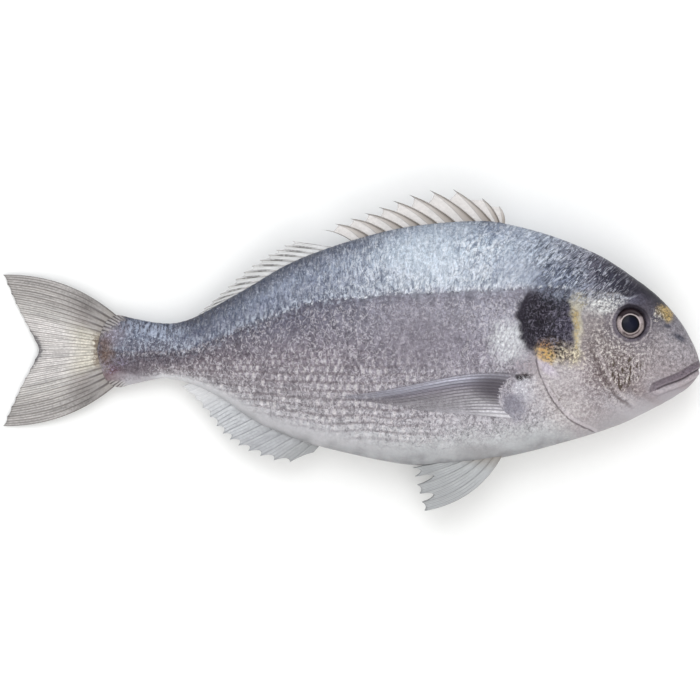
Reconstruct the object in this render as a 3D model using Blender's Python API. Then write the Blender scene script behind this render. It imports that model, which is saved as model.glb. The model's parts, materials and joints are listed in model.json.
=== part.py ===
"""A whole raw gilthead sea bream, lying on its left flank with the right flank up.

The head points to +X, the back to +Y, and +Z is up. Units are metres.
Places on the fish are in per cent of its total length, as fish are measured:
along from the tail tips to the snout, and up from the fish's long axis.
"""

import math

import bmesh
import bpy
from mathutils import Matrix, Vector

# Driving dimensions
TOTAL_LENGTH = 0.300
BODY_THICKNESS = 0.040
MM = 0.001
GAP = 0.0003

# The body's side outline: (along, up), both in per cent of the total length
BACK = (
    (13.7, 0.4), (14.1, 2.3), (15.0, 4.2), (16.6, 5.05), (18.6, 4.65), (23.1, 3.86),
    (25.7, 4.0), (28.4, 5.0), (35.3, 8.95), (40.8, 12.1), (46.3, 14.4), (56.0, 17.2),
    (62.0, 18.1), (68.6, 18.45), (72.1, 18.1), (79.3, 16.1), (85.7, 13.4), (91.4, 9.7),
    (94.3, 7.3), (97.1, 4.1), (98.6, 1.7), (99.55, -0.4), (100.0, -2.0),
)
BELLY = (
    (13.7, -0.4), (14.1, -2.4), (15.1, -4.5), (16.8, -5.35), (18.6, -4.95), (22.9, -4.1),
    (25.0, -4.3), (28.4, -5.3), (32.3, -7.4), (35.9, -9.9), (41.7, -12.5), (48.6, -14.5),
    (57.1, -16.2), (62.0, -16.4), (71.9, -15.3), (80.0, -13.3), (88.6, -10.6),
    (94.3, -7.8), (97.1, -6.1), (98.6, -5.0), (99.55, -3.8), (100.0, -2.4),
)
# The height of the thickest point of each section, in per cent of the total length
THICKEST = (
    (13.7, 0.0), (25.0, -0.1), (40.0, 0.4), (55.0, 1.6), (70.0, 1.8), (82.0, 0.6),
    (90.0, -0.4), (96.0, -1.6), (100.0, -2.2),
)
# The section's thickness, as a share of the body's greatest thickness
THICKNESS = (
    (13.7, 0.05), (15.0, 0.11), (17.0, 0.16), (20.0, 0.21), (23.0, 0.25), (28.5, 0.35),
    (36.7, 0.56), (46.7, 0.80), (56.7, 0.94), (66.0, 0.995), (73.0, 1.0), (80.0, 0.96),
    (85.0, 0.88), (90.0, 0.75), (94.0, 0.615), (97.0, 0.475), (98.7, 0.35), (99.6, 0.2),
    (100.0, 0.05),
)
# How sharply the section closes at the back and at the belly: 1 is an ellipse
BACK_SHARPNESS = ((13.7, 1.0), (40.0, 1.15), (70.0, 1.12), (85.0, 0.95), (100.0, 0.85))
BELLY_SHARPNESS = ((13.7, 1.0), (45.0, 0.92), (70.0, 0.9), (85.0, 0.95), (100.0, 0.85))
# The height of the fish's middle plane above what it lies on: the tail droops to it
LIE = (
    (0.0, 0.9 * MM), (13.7, 5.6 * MM), (25.0, 9.2 * MM), (36.0, 13.0 * MM),
    (48.0, 16.2 * MM), (60.0, 18.4 * MM), (76.0, 18.8 * MM), (88.0, 18.3 * MM),
    (100.0, 17.0 * MM),
)
BODY_STATIONS = 52
BODY_SIDES = 38
SNOUT_CROWDING = 1.5
NORMAL_STEP = 0.3
SHARP_ANGLE = 35.0
SKIN_COLOUR = (0.36, 0.37, 0.42)
SKIN_ROUGHNESS = 0.35

# Gill covers: the free rear edge, from the nape to the throat
GILL_EDGE = (
    (81.4, 7.4), (78.4, 4.6), (76.4, 0.6), (76.5, -2.6), (78.2, -6.4), (80.9, -9.7),
    (84.6, -11.6),
)
GILL_CENTRE = (87.5, -2.0)
GILL_STEP = 1.0 * MM
GILL_SAMPLES = 17
GILL_RAISE = ((0.0, 0.55), (0.06, 1.0), (0.45, 0.85), (1.0, -0.6))
GILL_ROOT = 2.2 * MM
# Places from the free edge to the cheek, how far they go to the centre, and how the cover
# thins out at the nape and at the throat
GILL_INWARD = (0.0, 0.06, 0.25, 0.5, 0.75, 1.0)
GILL_INNER_SHARE = 0.9
GILL_END_SHARE = 0.25
GILL_END_SLOPE = 4.0

# Eyes
EYE_PLACE = (89.9, 3.85)
EYE_RADIUS = 6.9 * MM
EYE_DEPTH = 4.6 * MM
EYE_BULGE = 1.7 * MM
EYE_SEGMENTS = 24
EYE_RINGS = 12
EYE_COLOUR = (0.05, 0.05, 0.07)
EYE_ROUGHNESS = 0.1
ORBIT_RADIUS = 7.5 * MM
ORBIT_RIM = 0.85 * MM
ORBIT_RIM_SIDES = 6
ORBIT_SINK_SHARE = 0.45

# Lips: each follows the line of the closed mouth round the snout
MOUTH_CORNER = (94.7, -5.3)
MOUTH_FRONT = (99.5, -2.95)
LIP_RADIUS = 1.25 * MM
LIP_SPREAD = 0.34
LIP_PARTING = 3.0
LIP_SINK = 0.35 * MM
LIP_CORNER_SHARE = 0.45
LIP_SWELLING = 2.2
LIP_SAMPLES = 7
LIP_SIDES = 6

# Spiny part of the back fin: spine number against base, length (per cent) and lean (degrees)
SPINE_COUNT = 11
SPINE_BASE = ((0, 72.1), (1, 71.3), (2, 70.1), (3, 67.7), (4, 64.8), (10, 50.1))
SPINE_LENGTH = ((0, 2.6), (1, 4.2), (2, 7.1), (3, 7.7), (5, 7.0), (7, 5.7), (10, 4.7))
SPINE_LEAN = ((0, 70.0), (1, 54.0), (2, 40.0), (4, 31.0), (7, 21.0), (10, 20.0))
SPINE_BOW = 0.3
SPINE_STEPS = 4

# Soft part of the back fin, folded down towards the tail
SOFT_COUNT = 13
SOFT_BASE = ((0, 47.4), (12, 31.4))
SOFT_LENGTH = ((0, 5.7), (4, 5.0), (9, 4.2), (12, 3.9))
SOFT_LEAN = ((0, 8.0), (6, -3.0), (12, -27.0))
SOFT_STEPS = 3

# Anal fin: three spines, then soft rays
ANAL_COUNT = 14
ANAL_BASE = ((0, 45.6), (1, 44.6), (2, 43.3), (13, 27.0))
ANAL_LENGTH = ((0, 1.2), (1, 4.1), (2, 5.0), (4, 5.5), (6, 5.1), (9, 3.5), (13, 1.2))
ANAL_LEAN = ((0, -48.0), (1, -39.0), (3, -29.0), (6, -25.0), (9, -30.0), (13, -22.0))
ANAL_STEPS = 4

# Tail fin: base, edge and bow of its outer rays
TAIL_RAYS = 15
TAIL_BASE_UP = 4.6
TAIL_BASE_ALONG = 16.9
TAIL_BASE_BULGE = 2.4
TAIL_TIP_UP = 10.85
TAIL_TIP_DOWN = -10.95
TAIL_FORK = 5.25
TAIL_FORK_ROUND = 4.0
TAIL_EDGE_BULGE = 0.55
TAIL_BOW = 1.75
TAIL_BOW_POWER = 3
TAIL_STEPS = 6

# Breast fins, folded flat on the flanks
BREAST_BASE_TOP = (75.2, -3.8)
BREAST_BASE_LOW = (73.9, -9.3)
BREAST_TIP = (48.4, -6.6)
BREAST_LOW_TIP = (60.6, -8.7)
BREAST_BOW = 2.1
BREAST_RAYS = 11
BREAST_STEPS = 7
BREAST_RAISE = 1.0 * MM
BREAST_TIP_THINNING = 0.5
BREAST_GROOVE_SHARE = 0.72
BREAST_POINT_POWER = 1.4
BREAST_ROOT = 1.2 * MM

# Belly fins, one on each side of the middle plane
PELVIC_BASE_FRONT = (71.8, -14.8)
PELVIC_BASE_REAR = (66.2, -15.4)
PELVIC_TIP_FRONT = (60.6, -22.95)
PELVIC_TIP_REAR = (58.9, -16.8)
PELVIC_BOW = 1.7
PELVIC_BOW_POWER = 1.5
PELVIC_RAYS = 6
PELVIC_STEPS = 5
PELVIC_NOTCH = (0.1, 0.6, 0.15, 1.1, 0.5)
PELVIC_OFFSET = 4.0 * MM
PELVIC_SPLAY = 0.10

# Thin parts: each cell is (share of the way to the next ray, share of the ray's length
# that the sheet reaches there, thickness)
SPINE_THICKNESS = 1.7 * MM
RAY_THICKNESS = 1.1 * MM
WEB_THICKNESS = 0.6 * MM
SPINY_CELLS = (
    (0.0, 1.0, SPINE_THICKNESS), (0.13, 0.85, WEB_THICKNESS), (0.5, 0.72, WEB_THICKNESS),
    (0.87, 0.62, WEB_THICKNESS),
)
SOFT_CELLS = ((0.0, 1.0, RAY_THICKNESS), (0.5, 0.85, WEB_THICKNESS))
PELVIC_CELLS = (
    (0.0, 1.0, RAY_THICKNESS), (0.33, 0.74, WEB_THICKNESS), (0.67, 0.74, WEB_THICKNESS),
)
TAIL_CELLS = ((0.0, 1.0, RAY_THICKNESS), (0.5, 0.985, WEB_THICKNESS))
FIN_ROOT = 1.2
FIN_TAPER = 0.45

# The flat that the fish rests on is cut by a block of this share of the total length
FLOOR_SHARE = 1.5


def curve(keys):
    """Returns a smooth function through (place, value) keys."""
    places, values = zip(*keys)
    last = len(keys) - 1
    slopes = []
    for i in range(last + 1):
        low, high = max(i - 1, 0), min(i + 1, last)
        slopes.append((values[high] - values[low]) / (places[high] - places[low]))

    def value(place):
        place = min(max(place, places[0]), places[last])
        i = next(n for n in range(last) if place <= places[n + 1])
        step = places[i + 1] - places[i]
        t = (place - places[i]) / step
        return (
            values[i] * (2 * t**3 - 3 * t**2 + 1)
            + slopes[i] * step * (t**3 - 2 * t**2 + t)
            + values[i + 1] * (3 * t**2 - 2 * t**3)
            + slopes[i + 1] * step * (t**3 - t**2)
        )

    return value


back, belly, thickest = curve(BACK), curve(BELLY), curve(THICKEST)
thickness, lie = curve(THICKNESS), curve(LIE)
back_sharpness, belly_sharpness = curve(BACK_SHARPNESS), curve(BELLY_SHARPNESS)


def world(along, up, z):
    """A point from its per cent of the total length, and its height in metres."""
    return Vector(((along / 100 - 0.5) * TOTAL_LENGTH, up / 100 * TOTAL_LENGTH, z))


def section_point(along, turn):
    """A point of the skin: turn 0 is the back, a quarter turn the right flank."""
    c, s = math.cos(turn), math.sin(turn)
    reach, power = (
        (back(along) - thickest(along), back_sharpness(along))
        if c > 0
        else (thickest(along) - belly(along), belly_sharpness(along))
    )
    half = thickness(along) * BODY_THICKNESS / 2
    side = math.copysign(abs(s) ** power, s)
    return world(along, thickest(along) + reach * c, lie(along) + half * side)


def flank(along, up):
    """The half thickness of the body at a place of its side view."""
    reach, power = (
        (back(along) - thickest(along), back_sharpness(along))
        if up > thickest(along)
        else (thickest(along) - belly(along), belly_sharpness(along))
    )
    c = min(abs(up - thickest(along)) / reach, 1.0)
    return thickness(along) * BODY_THICKNESS / 2 * math.sqrt(1 - c * c) ** power


def on_flank(along, up, side, out=0.0):
    """A point over the skin of one flank: side is 1 for the right, -1 for the left."""
    return world(along, up, lie(along) + side * (flank(along, up) + out))


def flank_normal(along, up, side):
    """The outward direction of the skin of one flank."""
    here = on_flank(along, up, side)
    ahead = on_flank(along + NORMAL_STEP, up, side) - here
    above = on_flank(along, up + NORMAL_STEP, side) - here
    return ahead.cross(above).normalized() * side


def mesh_object(name, points, faces):
    """A new object from points and faces, with its faces pointing out."""
    mesh = bpy.data.meshes.new(name)
    mesh.from_pydata([tuple(p) for p in points], [], faces)
    made = bmesh.new()
    made.from_mesh(mesh)
    bmesh.ops.triangulate(made, faces=made.faces[:])
    bmesh.ops.recalc_face_normals(made, faces=made.faces[:])
    made.to_mesh(mesh)
    made.free()
    thing = bpy.data.objects.new(name, mesh)
    bpy.context.scene.collection.objects.link(thing)
    return thing


def loft(name, rings):
    """A closed solid through rings that have the same number of points."""
    sides = len(rings[0])
    points = [p for ring in rings for p in ring]
    faces = [
        (a * sides + b, a * sides + (b + 1) % sides,
         (a + 1) * sides + (b + 1) % sides, (a + 1) * sides + b)
        for a in range(len(rings) - 1)
        for b in range(sides)
    ]
    for ring, first in ((rings[0], 0), (rings[-1], (len(rings) - 1) * sides)):
        centre = len(points)
        points.append(sum(ring, Vector()) / sides)
        faces += [(first + b, first + (b + 1) % sides, centre) for b in range(sides)]
    return mesh_object(name, points, faces)


def plate(name, upper, lower):
    """A closed solid between two grids of points of the same size."""
    rows, columns = len(upper), len(upper[0])
    points = [p for row in upper for p in row] + [p for row in lower for p in row]
    under = rows * columns
    faces = []
    for r in range(rows - 1):
        for c in range(columns - 1):
            a, b = r * columns + c, (r + 1) * columns + c
            faces.append((a, a + 1, b + 1, b))
            faces.append((under + a, under + b, under + b + 1, under + a + 1))
    rim = (
        [c for c in range(columns)]
        + [r * columns + columns - 1 for r in range(1, rows)]
        + [(rows - 1) * columns + c for c in range(columns - 2, -1, -1)]
        + [r * columns for r in range(rows - 2, 0, -1)]
    )
    for a, b in zip(rim, rim[1:] + rim[:1]):
        faces.append((a, under + a, under + b, b))
    return mesh_object(name, points, faces)


def tube(name, path, radii, sides):
    """A round solid along a path, with its own radius at each point."""
    rings = []
    for i, p in enumerate(path):
        ahead = path[min(i + 1, len(path) - 1)] - path[max(i - 1, 0)]
        turn = ahead.to_track_quat("Z", "Y")
        rings.append([
            p + turn @ Vector((
                radii[i] * math.cos(2 * math.pi * k / sides),
                radii[i] * math.sin(2 * math.pi * k / sides), 0.0))
            for k in range(sides)
        ])
    return loft(name, rings)


def make_body():
    """The body from the tail's root to the snout, without fins."""
    rings = []
    first, last = BACK[0][0], BACK[-1][0]
    for i in range(BODY_STATIONS):
        share = 1 - (1 - i / (BODY_STATIONS - 1)) ** SNOUT_CROWDING
        along = first + (last - first) * share
        rings.append([
            section_point(along, 2 * math.pi * k / BODY_SIDES) for k in range(BODY_SIDES)
        ])
    return loft("body", rings)


def make_gill_cover(side):
    """A raised gill cover: high along its free edge, and merging into the cheek."""
    edge_along = curve([(i, p[0]) for i, p in enumerate(GILL_EDGE)])
    edge_up = curve([(i, p[1]) for i, p in enumerate(GILL_EDGE)])
    raise_at = curve(GILL_RAISE)
    upper, lower = [], []
    for i in range(GILL_SAMPLES):
        place = (len(GILL_EDGE) - 1) * i / (GILL_SAMPLES - 1)
        edge = (edge_along(place), edge_up(place))
        spots = [
            (edge[0] + (GILL_CENTRE[0] - edge[0]) * d * GILL_INNER_SHARE,
             edge[1] + (GILL_CENTRE[1] - edge[1]) * d * GILL_INNER_SHARE)
            for d in GILL_INWARD
        ]
        from_end = min(i, GILL_SAMPLES - 1 - i) / GILL_SAMPLES
        fade = min(1.0, GILL_END_SHARE + GILL_END_SLOPE * from_end)
        upper.append([
            on_flank(*spot, side, GILL_STEP * fade * raise_at(d))
            for spot, d in zip(spots, GILL_INWARD)
        ])
        lower.append([on_flank(*spot, side, -GILL_ROOT) for spot in spots])
    return plate("gill_cover", upper, lower)


def eye_placing(side):
    """Where an eye sits: its centre, and the turn that faces its Z outwards."""
    normal = flank_normal(*EYE_PLACE, side)
    centre = on_flank(*EYE_PLACE, side) - normal * (EYE_DEPTH - EYE_BULGE)
    return Matrix.Translation(centre) @ normal.to_track_quat("Z", "Y").to_matrix().to_4x4()


def make_ball(name, side, grow):
    """An eyeball, or the socket's cutter with a larger grow."""
    bpy.ops.mesh.primitive_uv_sphere_add(
        segments=EYE_SEGMENTS, ring_count=EYE_RINGS, radius=1)
    ball = bpy.context.object
    ball.name = name
    size = Matrix.Diagonal((EYE_RADIUS + grow, EYE_RADIUS + grow, EYE_DEPTH + grow, 1))
    ball.data.transform(eye_placing(side) @ size)
    ball.data.shade_smooth()
    return ball


def make_orbit(side):
    """The rim of skin round one eye."""
    bpy.ops.mesh.primitive_torus_add(
        major_radius=ORBIT_RADIUS, minor_radius=ORBIT_RIM,
        major_segments=EYE_SEGMENTS, minor_segments=ORBIT_RIM_SIDES)
    rim = bpy.context.object
    rim.name = "orbit"
    lift = EYE_DEPTH - EYE_BULGE - ORBIT_RIM * ORBIT_SINK_SHARE
    rim.data.transform(eye_placing(side) @ Matrix.Translation((0, 0, lift)))
    return rim


def make_lip(name, spread):
    """A roll of lip from one mouth corner round the snout to the other."""
    half_path = []
    for i in range(LIP_SAMPLES):
        t = i / LIP_SAMPLES
        way = math.sin(t * math.pi / 2)
        along, up = [a + (b - a) * way for a, b in zip(MOUTH_CORNER, MOUTH_FRONT)]
        half_path.append((along, up + spread * min(1.0, LIP_PARTING * t)))
    tip = world(MOUTH_FRONT[0], MOUTH_FRONT[1] + spread, lie(MOUTH_FRONT[0]))
    path = [on_flank(*p, 1, -LIP_SINK) for p in half_path] + [tip]
    path += [on_flank(*p, -1, -LIP_SINK) for p in reversed(half_path)]
    middle = len(path) // 2
    radii = []
    for i in range(len(path)):
        swell = min(1.0, LIP_SWELLING * (1 - abs(i - middle) / middle))
        radii.append(LIP_RADIUS * (LIP_CORNER_SHARE + (1 - LIP_CORNER_SHARE) * swell))
    return tube(name, path, radii, LIP_SIDES)


def fin_rays(count, base, length, lean, profile):
    """The rays of a fin on the middle line, as (base, tip) pairs of places."""
    base_at, length_at, lean_at = curve(base), curve(length), curve(lean)
    rays = []
    for n in range(count):
        along = base_at(n)
        angle = math.radians(lean_at(n))
        root = (along, profile(along))
        tip = (along - length_at(n) * math.cos(angle), root[1] + length_at(n) * math.sin(angle))
        rays.append((root, tip))
    return rays


def bowed(root, tip, t, bow):
    """A place along a ray that bends to one side by its bow, in per cent."""
    across = Vector((tip[1] - root[1], root[0] - tip[0])).normalized()
    lift = 4 * bow * t * (1 - t)
    return (
        root[0] + (tip[0] - root[0]) * t + across.x * lift,
        root[1] + (tip[1] - root[1]) * t + across.y * lift,
    )


def make_web(name, rays, cells, steps, flat, bow, deeper=None):
    """The sheet of a fin: thick at each ray, and notched between the rays."""
    upper, lower = [], []
    bands = len(rays) - 1
    spots = [(n, *cell) for n in range(bands) for cell in cells]
    spots.append((bands - 1, 1.0, *cells[0][1:]))
    for n, t, reach, thick in spots:
        root = [a + (b - a) * t for a, b in zip(rays[n][0], rays[n + 1][0])]
        tip = [a + (b - a) * t for a, b in zip(rays[n][1], rays[n + 1][1])]
        if deeper:
            reach = 1 - deeper[n] * (1 - reach)
        sink = FIN_ROOT / math.dist(root, tip)
        top, bottom = [], []
        for m in range(steps + 1):
            share = m / steps
            place = bowed(root, tip, reach * share - sink * (1 - share), bow((n + t) / bands))
            rise = Vector((0, 0, thick / 2 * (1 - FIN_TAPER * share)))
            top.append(flat(*place) + rise)
            bottom.append(flat(*place) - rise)
        upper.append(top)
        lower.append(bottom)
    return plate(name, upper, lower)


def middle_plane(along, up):
    """A place on the fish's own middle plane."""
    return world(along, up, lie(along))


def make_spiny_fin():
    """The front of the back fin: eleven spines with a web between them."""
    spines = fin_rays(SPINE_COUNT, SPINE_BASE, SPINE_LENGTH, SPINE_LEAN, back)
    return make_web(
        "spiny", spines, SPINY_CELLS, SPINE_STEPS, middle_plane, lambda share: SPINE_BOW)


def make_soft_fin():
    """The soft rear of the back fin, folded down."""
    rays = fin_rays(SOFT_COUNT, SOFT_BASE, SOFT_LENGTH, SOFT_LEAN, back)
    return make_web("soft", rays, SOFT_CELLS, SOFT_STEPS, middle_plane, lambda share: 0.0)


def make_anal_fin():
    """Three spines and soft rays with a saw-toothed edge."""
    rays = fin_rays(ANAL_COUNT, ANAL_BASE, ANAL_LENGTH, ANAL_LEAN, belly)
    return make_web("anal", rays, SOFT_CELLS, ANAL_STEPS, middle_plane, lambda share: 0.0)


def tail_ray(a):
    """Base and tip of a tail ray: a runs from 1 at the top edge to -1 at the bottom."""
    root = (
        TAIL_BASE_ALONG - TAIL_BASE_BULGE * (1 - a * a),
        TAIL_BASE_UP * a,
    )
    reach = TAIL_TIP_UP if a > 0 else -TAIL_TIP_DOWN
    fork = TAIL_FORK * (1 - abs(a) ** (1 + 1 / TAIL_FORK_ROUND))
    bulge = TAIL_EDGE_BULGE * math.sin(math.pi * abs(a))
    return root, (fork - bulge, reach * a)


def make_tail_fin():
    """The forked tail fin."""
    rays = [tail_ray(1 - 2 * n / (TAIL_RAYS - 1)) for n in range(TAIL_RAYS)]
    return make_web(
        "tail", rays, TAIL_CELLS, TAIL_STEPS, middle_plane,
        lambda share: TAIL_BOW * (1 - 2 * share) ** TAIL_BOW_POWER)


def make_breast_fin(side):
    """A long pointed fin that lies on the flank behind the gill cover."""
    upper, lower = [], []
    across = 2 * BREAST_RAYS
    for n in range(across + 1):
        a = n / across
        root = [p + (q - p) * a for p, q in zip(BREAST_BASE_TOP, BREAST_BASE_LOW)]
        reach = math.sin(a * math.pi / 2) ** BREAST_POINT_POWER
        tip = [p + (q - p) * reach for p, q in zip(BREAST_TIP, BREAST_LOW_TIP)]
        ridge = 1.0 if n % 2 else BREAST_GROOVE_SHARE
        top, bottom = [], []
        for m in range(BREAST_STEPS + 1):
            t = m / BREAST_STEPS
            place = bowed(root, tip, t, BREAST_BOW * (1 - a) * (1 - t))
            out = BREAST_RAISE * ridge * (1 - BREAST_TIP_THINNING * t)
            top.append(on_flank(*place, side, out))
            bottom.append(on_flank(*place, side, -BREAST_ROOT))
        upper.append(top)
        lower.append(bottom)
    return plate("breast", upper, lower)


def make_pelvic_fin(side):
    """A belly fin with split ray ends, beside the middle plane."""
    rays = []
    for n in range(PELVIC_RAYS):
        a = n / (PELVIC_RAYS - 1)
        root = [p + (q - p) * a for p, q in zip(PELVIC_BASE_FRONT, PELVIC_BASE_REAR)]
        tip = [p + (q - p) * a for p, q in zip(PELVIC_TIP_FRONT, PELVIC_TIP_REAR)]
        rays.append((root, tip))

    def beside(along, up):
        drop = PELVIC_SPLAY * (up - PELVIC_BASE_FRONT[1]) / 100 * TOTAL_LENGTH
        return world(along, up, lie(along) + side * PELVIC_OFFSET + drop)

    return make_web(
        "pelvic", rays, PELVIC_CELLS, PELVIC_STEPS, beside,
        lambda share: -PELVIC_BOW * (1 - share) ** PELVIC_BOW_POWER, PELVIC_NOTCH)


def material(name, colour, roughness):
    """A plain surface colour for one kind of tissue."""
    made = bpy.data.materials.new(name)
    made.use_nodes = True
    shader = made.node_tree.nodes["Principled BSDF"]
    shader.inputs["Base Color"].default_value = (*colour, 1)
    shader.inputs["Roughness"].default_value = roughness
    shader.inputs["Metallic"].default_value = 0.0
    return made


def fuse(target, pieces):
    """Joins all pieces to the target by one union."""
    group = bpy.data.collections.new("pieces")
    bpy.context.scene.collection.children.link(group)
    for piece in pieces:
        group.objects.link(piece)
    join = target.modifiers.new("join", "BOOLEAN")
    join.operation = "UNION"
    join.operand_type = "COLLECTION"
    join.collection = group
    join.solver = "EXACT"
    apply_modifiers(target)
    for piece in pieces:
        bpy.data.objects.remove(piece)
    bpy.data.collections.remove(group)


def cut(target, cutter):
    """Takes the cutter's shape out of the target."""
    taken = target.modifiers.new("cut", "BOOLEAN")
    taken.operation = "DIFFERENCE"
    taken.object = cutter
    taken.solver = "EXACT"
    apply_modifiers(target)
    bpy.data.objects.remove(cutter)


def apply_modifiers(target):
    """Keeps the shape that the modifiers give."""
    bpy.context.view_layer.objects.active = target
    for modifier in target.modifiers[:]:
        bpy.ops.object.modifier_apply(modifier=modifier.name)


def make_floor():
    """A block below the fish, which flattens the flank that it lies on."""
    bpy.ops.mesh.primitive_cube_add(size=1)
    block = bpy.context.object
    size = FLOOR_SHARE * TOTAL_LENGTH
    block.data.transform(Matrix.Translation((0, 0, -size / 2)) @ Matrix.Scale(size, 4))
    return block


def main():
    for thing in list(bpy.data.objects):
        bpy.data.objects.remove(thing)
    fish = make_body()
    pieces = [make_spiny_fin(), make_soft_fin(), make_anal_fin(), make_tail_fin()]
    pieces += [make_lip("upper_lip", LIP_SPREAD), make_lip("lower_lip", -LIP_SPREAD)]
    for side in (1, -1):
        pieces += [make_gill_cover(side), make_orbit(side)]
        pieces += [make_breast_fin(side), make_pelvic_fin(side)]
    fuse(fish, pieces)
    for side in (1, -1):
        cut(fish, make_ball("socket", side, GAP))
    cut(fish, make_floor())
    fish.name = "fish"
    fish.data.materials.clear()
    fish.data.materials.append(material("skin", SKIN_COLOUR, SKIN_ROUGHNESS))
    fish.data.shade_smooth()
    fish.data.set_sharp_from_angle(angle=math.radians(SHARP_ANGLE))
    iris = material("eye", EYE_COLOUR, EYE_ROUGHNESS)
    for name, side in (("eye_right", 1), ("eye_left", -1)):
        make_ball(name, side, 0.0).data.materials.append(iris)


main()
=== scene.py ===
"""The finished look of a whole raw gilthead sea bream on a pale floor, seen from above.

Places on the fish are in per cent of its total length, as fish are measured:
along from the tail tips to the snout, and up from the fish's long axis.
"""

import json
import math
from itertools import chain

import bpy
import numpy as np
from mathutils import Matrix, Vector, noise

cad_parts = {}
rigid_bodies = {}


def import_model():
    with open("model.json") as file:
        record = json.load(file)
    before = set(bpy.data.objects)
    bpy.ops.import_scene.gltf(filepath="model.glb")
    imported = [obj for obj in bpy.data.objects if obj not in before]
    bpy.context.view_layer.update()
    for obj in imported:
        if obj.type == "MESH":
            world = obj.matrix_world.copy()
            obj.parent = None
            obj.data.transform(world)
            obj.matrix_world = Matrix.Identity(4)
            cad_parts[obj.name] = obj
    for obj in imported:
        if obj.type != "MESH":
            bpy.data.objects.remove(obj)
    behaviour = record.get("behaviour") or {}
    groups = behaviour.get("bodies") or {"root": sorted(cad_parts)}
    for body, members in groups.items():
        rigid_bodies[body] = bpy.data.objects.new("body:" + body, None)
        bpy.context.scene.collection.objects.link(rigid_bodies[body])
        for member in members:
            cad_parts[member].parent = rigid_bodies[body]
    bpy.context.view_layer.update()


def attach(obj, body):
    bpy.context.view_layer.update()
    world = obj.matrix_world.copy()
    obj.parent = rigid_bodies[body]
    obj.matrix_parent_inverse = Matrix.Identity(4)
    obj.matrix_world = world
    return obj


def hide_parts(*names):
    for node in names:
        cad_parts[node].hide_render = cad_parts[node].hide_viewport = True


bl_info = {
    "name": "Sea bream",
    "version": (1, 0, 0),
    "blender": (4, 5, 0),
    "location": "3D view > Sidebar > Sea bream",
    "description": "Builds the skin, fins and eyes of a sea bream and the scene it is seen in",
    "category": "Object",
}

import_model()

MM = 0.001
# Points closer than this are one, in metres
MERGE_GAP = 1e-6

# The body's side outline: (along, up), both in per cent of the total length
BACK = (
    (13.7, 0.4), (14.1, 2.3), (15.0, 4.2), (16.6, 5.05), (18.6, 4.65), (23.1, 3.86),
    (25.7, 4.0), (28.4, 5.0), (35.3, 8.95), (40.8, 12.1), (46.3, 14.4), (56.0, 17.2),
    (62.0, 18.1), (68.6, 18.45), (72.1, 18.1), (79.3, 16.1), (85.7, 13.4), (91.4, 9.7),
    (94.3, 7.3), (97.1, 4.1), (98.6, 1.7), (99.55, -0.4), (100.0, -2.0),
)
BELLY = (
    (13.7, -0.4), (14.1, -2.4), (15.1, -4.5), (16.8, -5.35), (18.6, -4.95), (22.9, -4.1),
    (25.0, -4.3), (28.4, -5.3), (32.3, -7.4), (35.9, -9.9), (41.7, -12.5), (48.6, -14.5),
    (57.1, -16.2), (62.0, -16.4), (71.9, -15.3), (80.0, -13.3), (88.6, -10.6),
    (94.3, -7.8), (97.1, -6.1), (98.6, -5.0), (99.55, -3.8), (100.0, -2.4),
)
THICKEST = (
    (13.7, 0.0), (25.0, -0.1), (40.0, 0.4), (55.0, 1.6), (70.0, 1.8), (82.0, 0.6),
    (90.0, -0.4), (96.0, -1.6), (100.0, -2.2),
)
# The section's thickness, as a share of the body's greatest thickness
THICKNESS = (
    (13.7, 0.05), (15.0, 0.11), (17.0, 0.16), (20.0, 0.21), (23.0, 0.25), (28.5, 0.35),
    (36.7, 0.56), (46.7, 0.80), (56.7, 0.94), (66.0, 0.995), (73.0, 1.0), (80.0, 0.96),
    (85.0, 0.88), (90.0, 0.75), (94.0, 0.615), (97.0, 0.475), (98.7, 0.35), (99.6, 0.2),
    (100.0, 0.05),
)
BACK_SHARPNESS = ((13.7, 1.0), (40.0, 1.15), (70.0, 1.12), (85.0, 0.95), (100.0, 0.85))
BELLY_SHARPNESS = ((13.7, 1.0), (45.0, 0.92), (70.0, 0.9), (85.0, 0.95), (100.0, 0.85))
# The height of the fish's middle plane above what it lies on, in mm
LIE = (
    (0.0, 0.9), (13.7, 5.6), (25.0, 9.2), (36.0, 13.0), (48.0, 16.2), (60.0, 18.4),
    (76.0, 18.8), (88.0, 18.3), (100.0, 17.0),
)

# Lines on the head and flank, each as (along, up) places
GILL_EDGE = (
    (81.4, 7.4), (78.4, 4.6), (76.4, 0.6), (76.5, -2.6), (78.2, -6.4), (80.9, -9.7),
    (84.6, -11.6),
)
GILL_CENTRE = (87.5, -2.0)
GILL_RAISE = ((-0.02, 0.0), (0.0, 0.5), (0.06, 1.0), (0.45, 0.85), (1.0, -0.2), (1.1, 0.0))
CHEEK_EDGE = (
    (83.0, 5.4), (83.1, 3.0), (83.6, 0.9), (84.6, -1.8), (85.9, -4.4), (87.4, -6.6),
    (89.6, -8.2),
)
MOUTH_LINE = ((93.6, -5.6), (94.8, -5.1), (97.2, -4.2), (98.6, -3.4), (100.2, -2.6))
SIDE_LINE = (
    (13.7, -0.1), (26.0, 0.2), (31.5, 2.2), (38.0, 4.9), (44.0, 6.6), (51.9, 7.4),
    (56.6, 7.8), (65.3, 8.2), (72.3, 8.6), (79.4, 8.7), (84.0, 8.3), (100.0, 6.0),
)
HEAD_EDGE = (
    (84.6, -13.6), (81.4, -10.0), (78.8, -6.6), (77.2, -3.0), (77.2, 0.0), (79.0, 3.0),
    (81.4, 5.6), (82.2, 7.6), (83.0, 10.0), (84.6, 12.6), (86.5, 15.5),
)
EYE_PLACE = (89.9, 3.85)
# The middle of the ring of skin round the eye, and the height at which its lid begins
ORBIT_PLACE = (89.78, 3.84)
ORBIT_LID = 26.9
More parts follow.
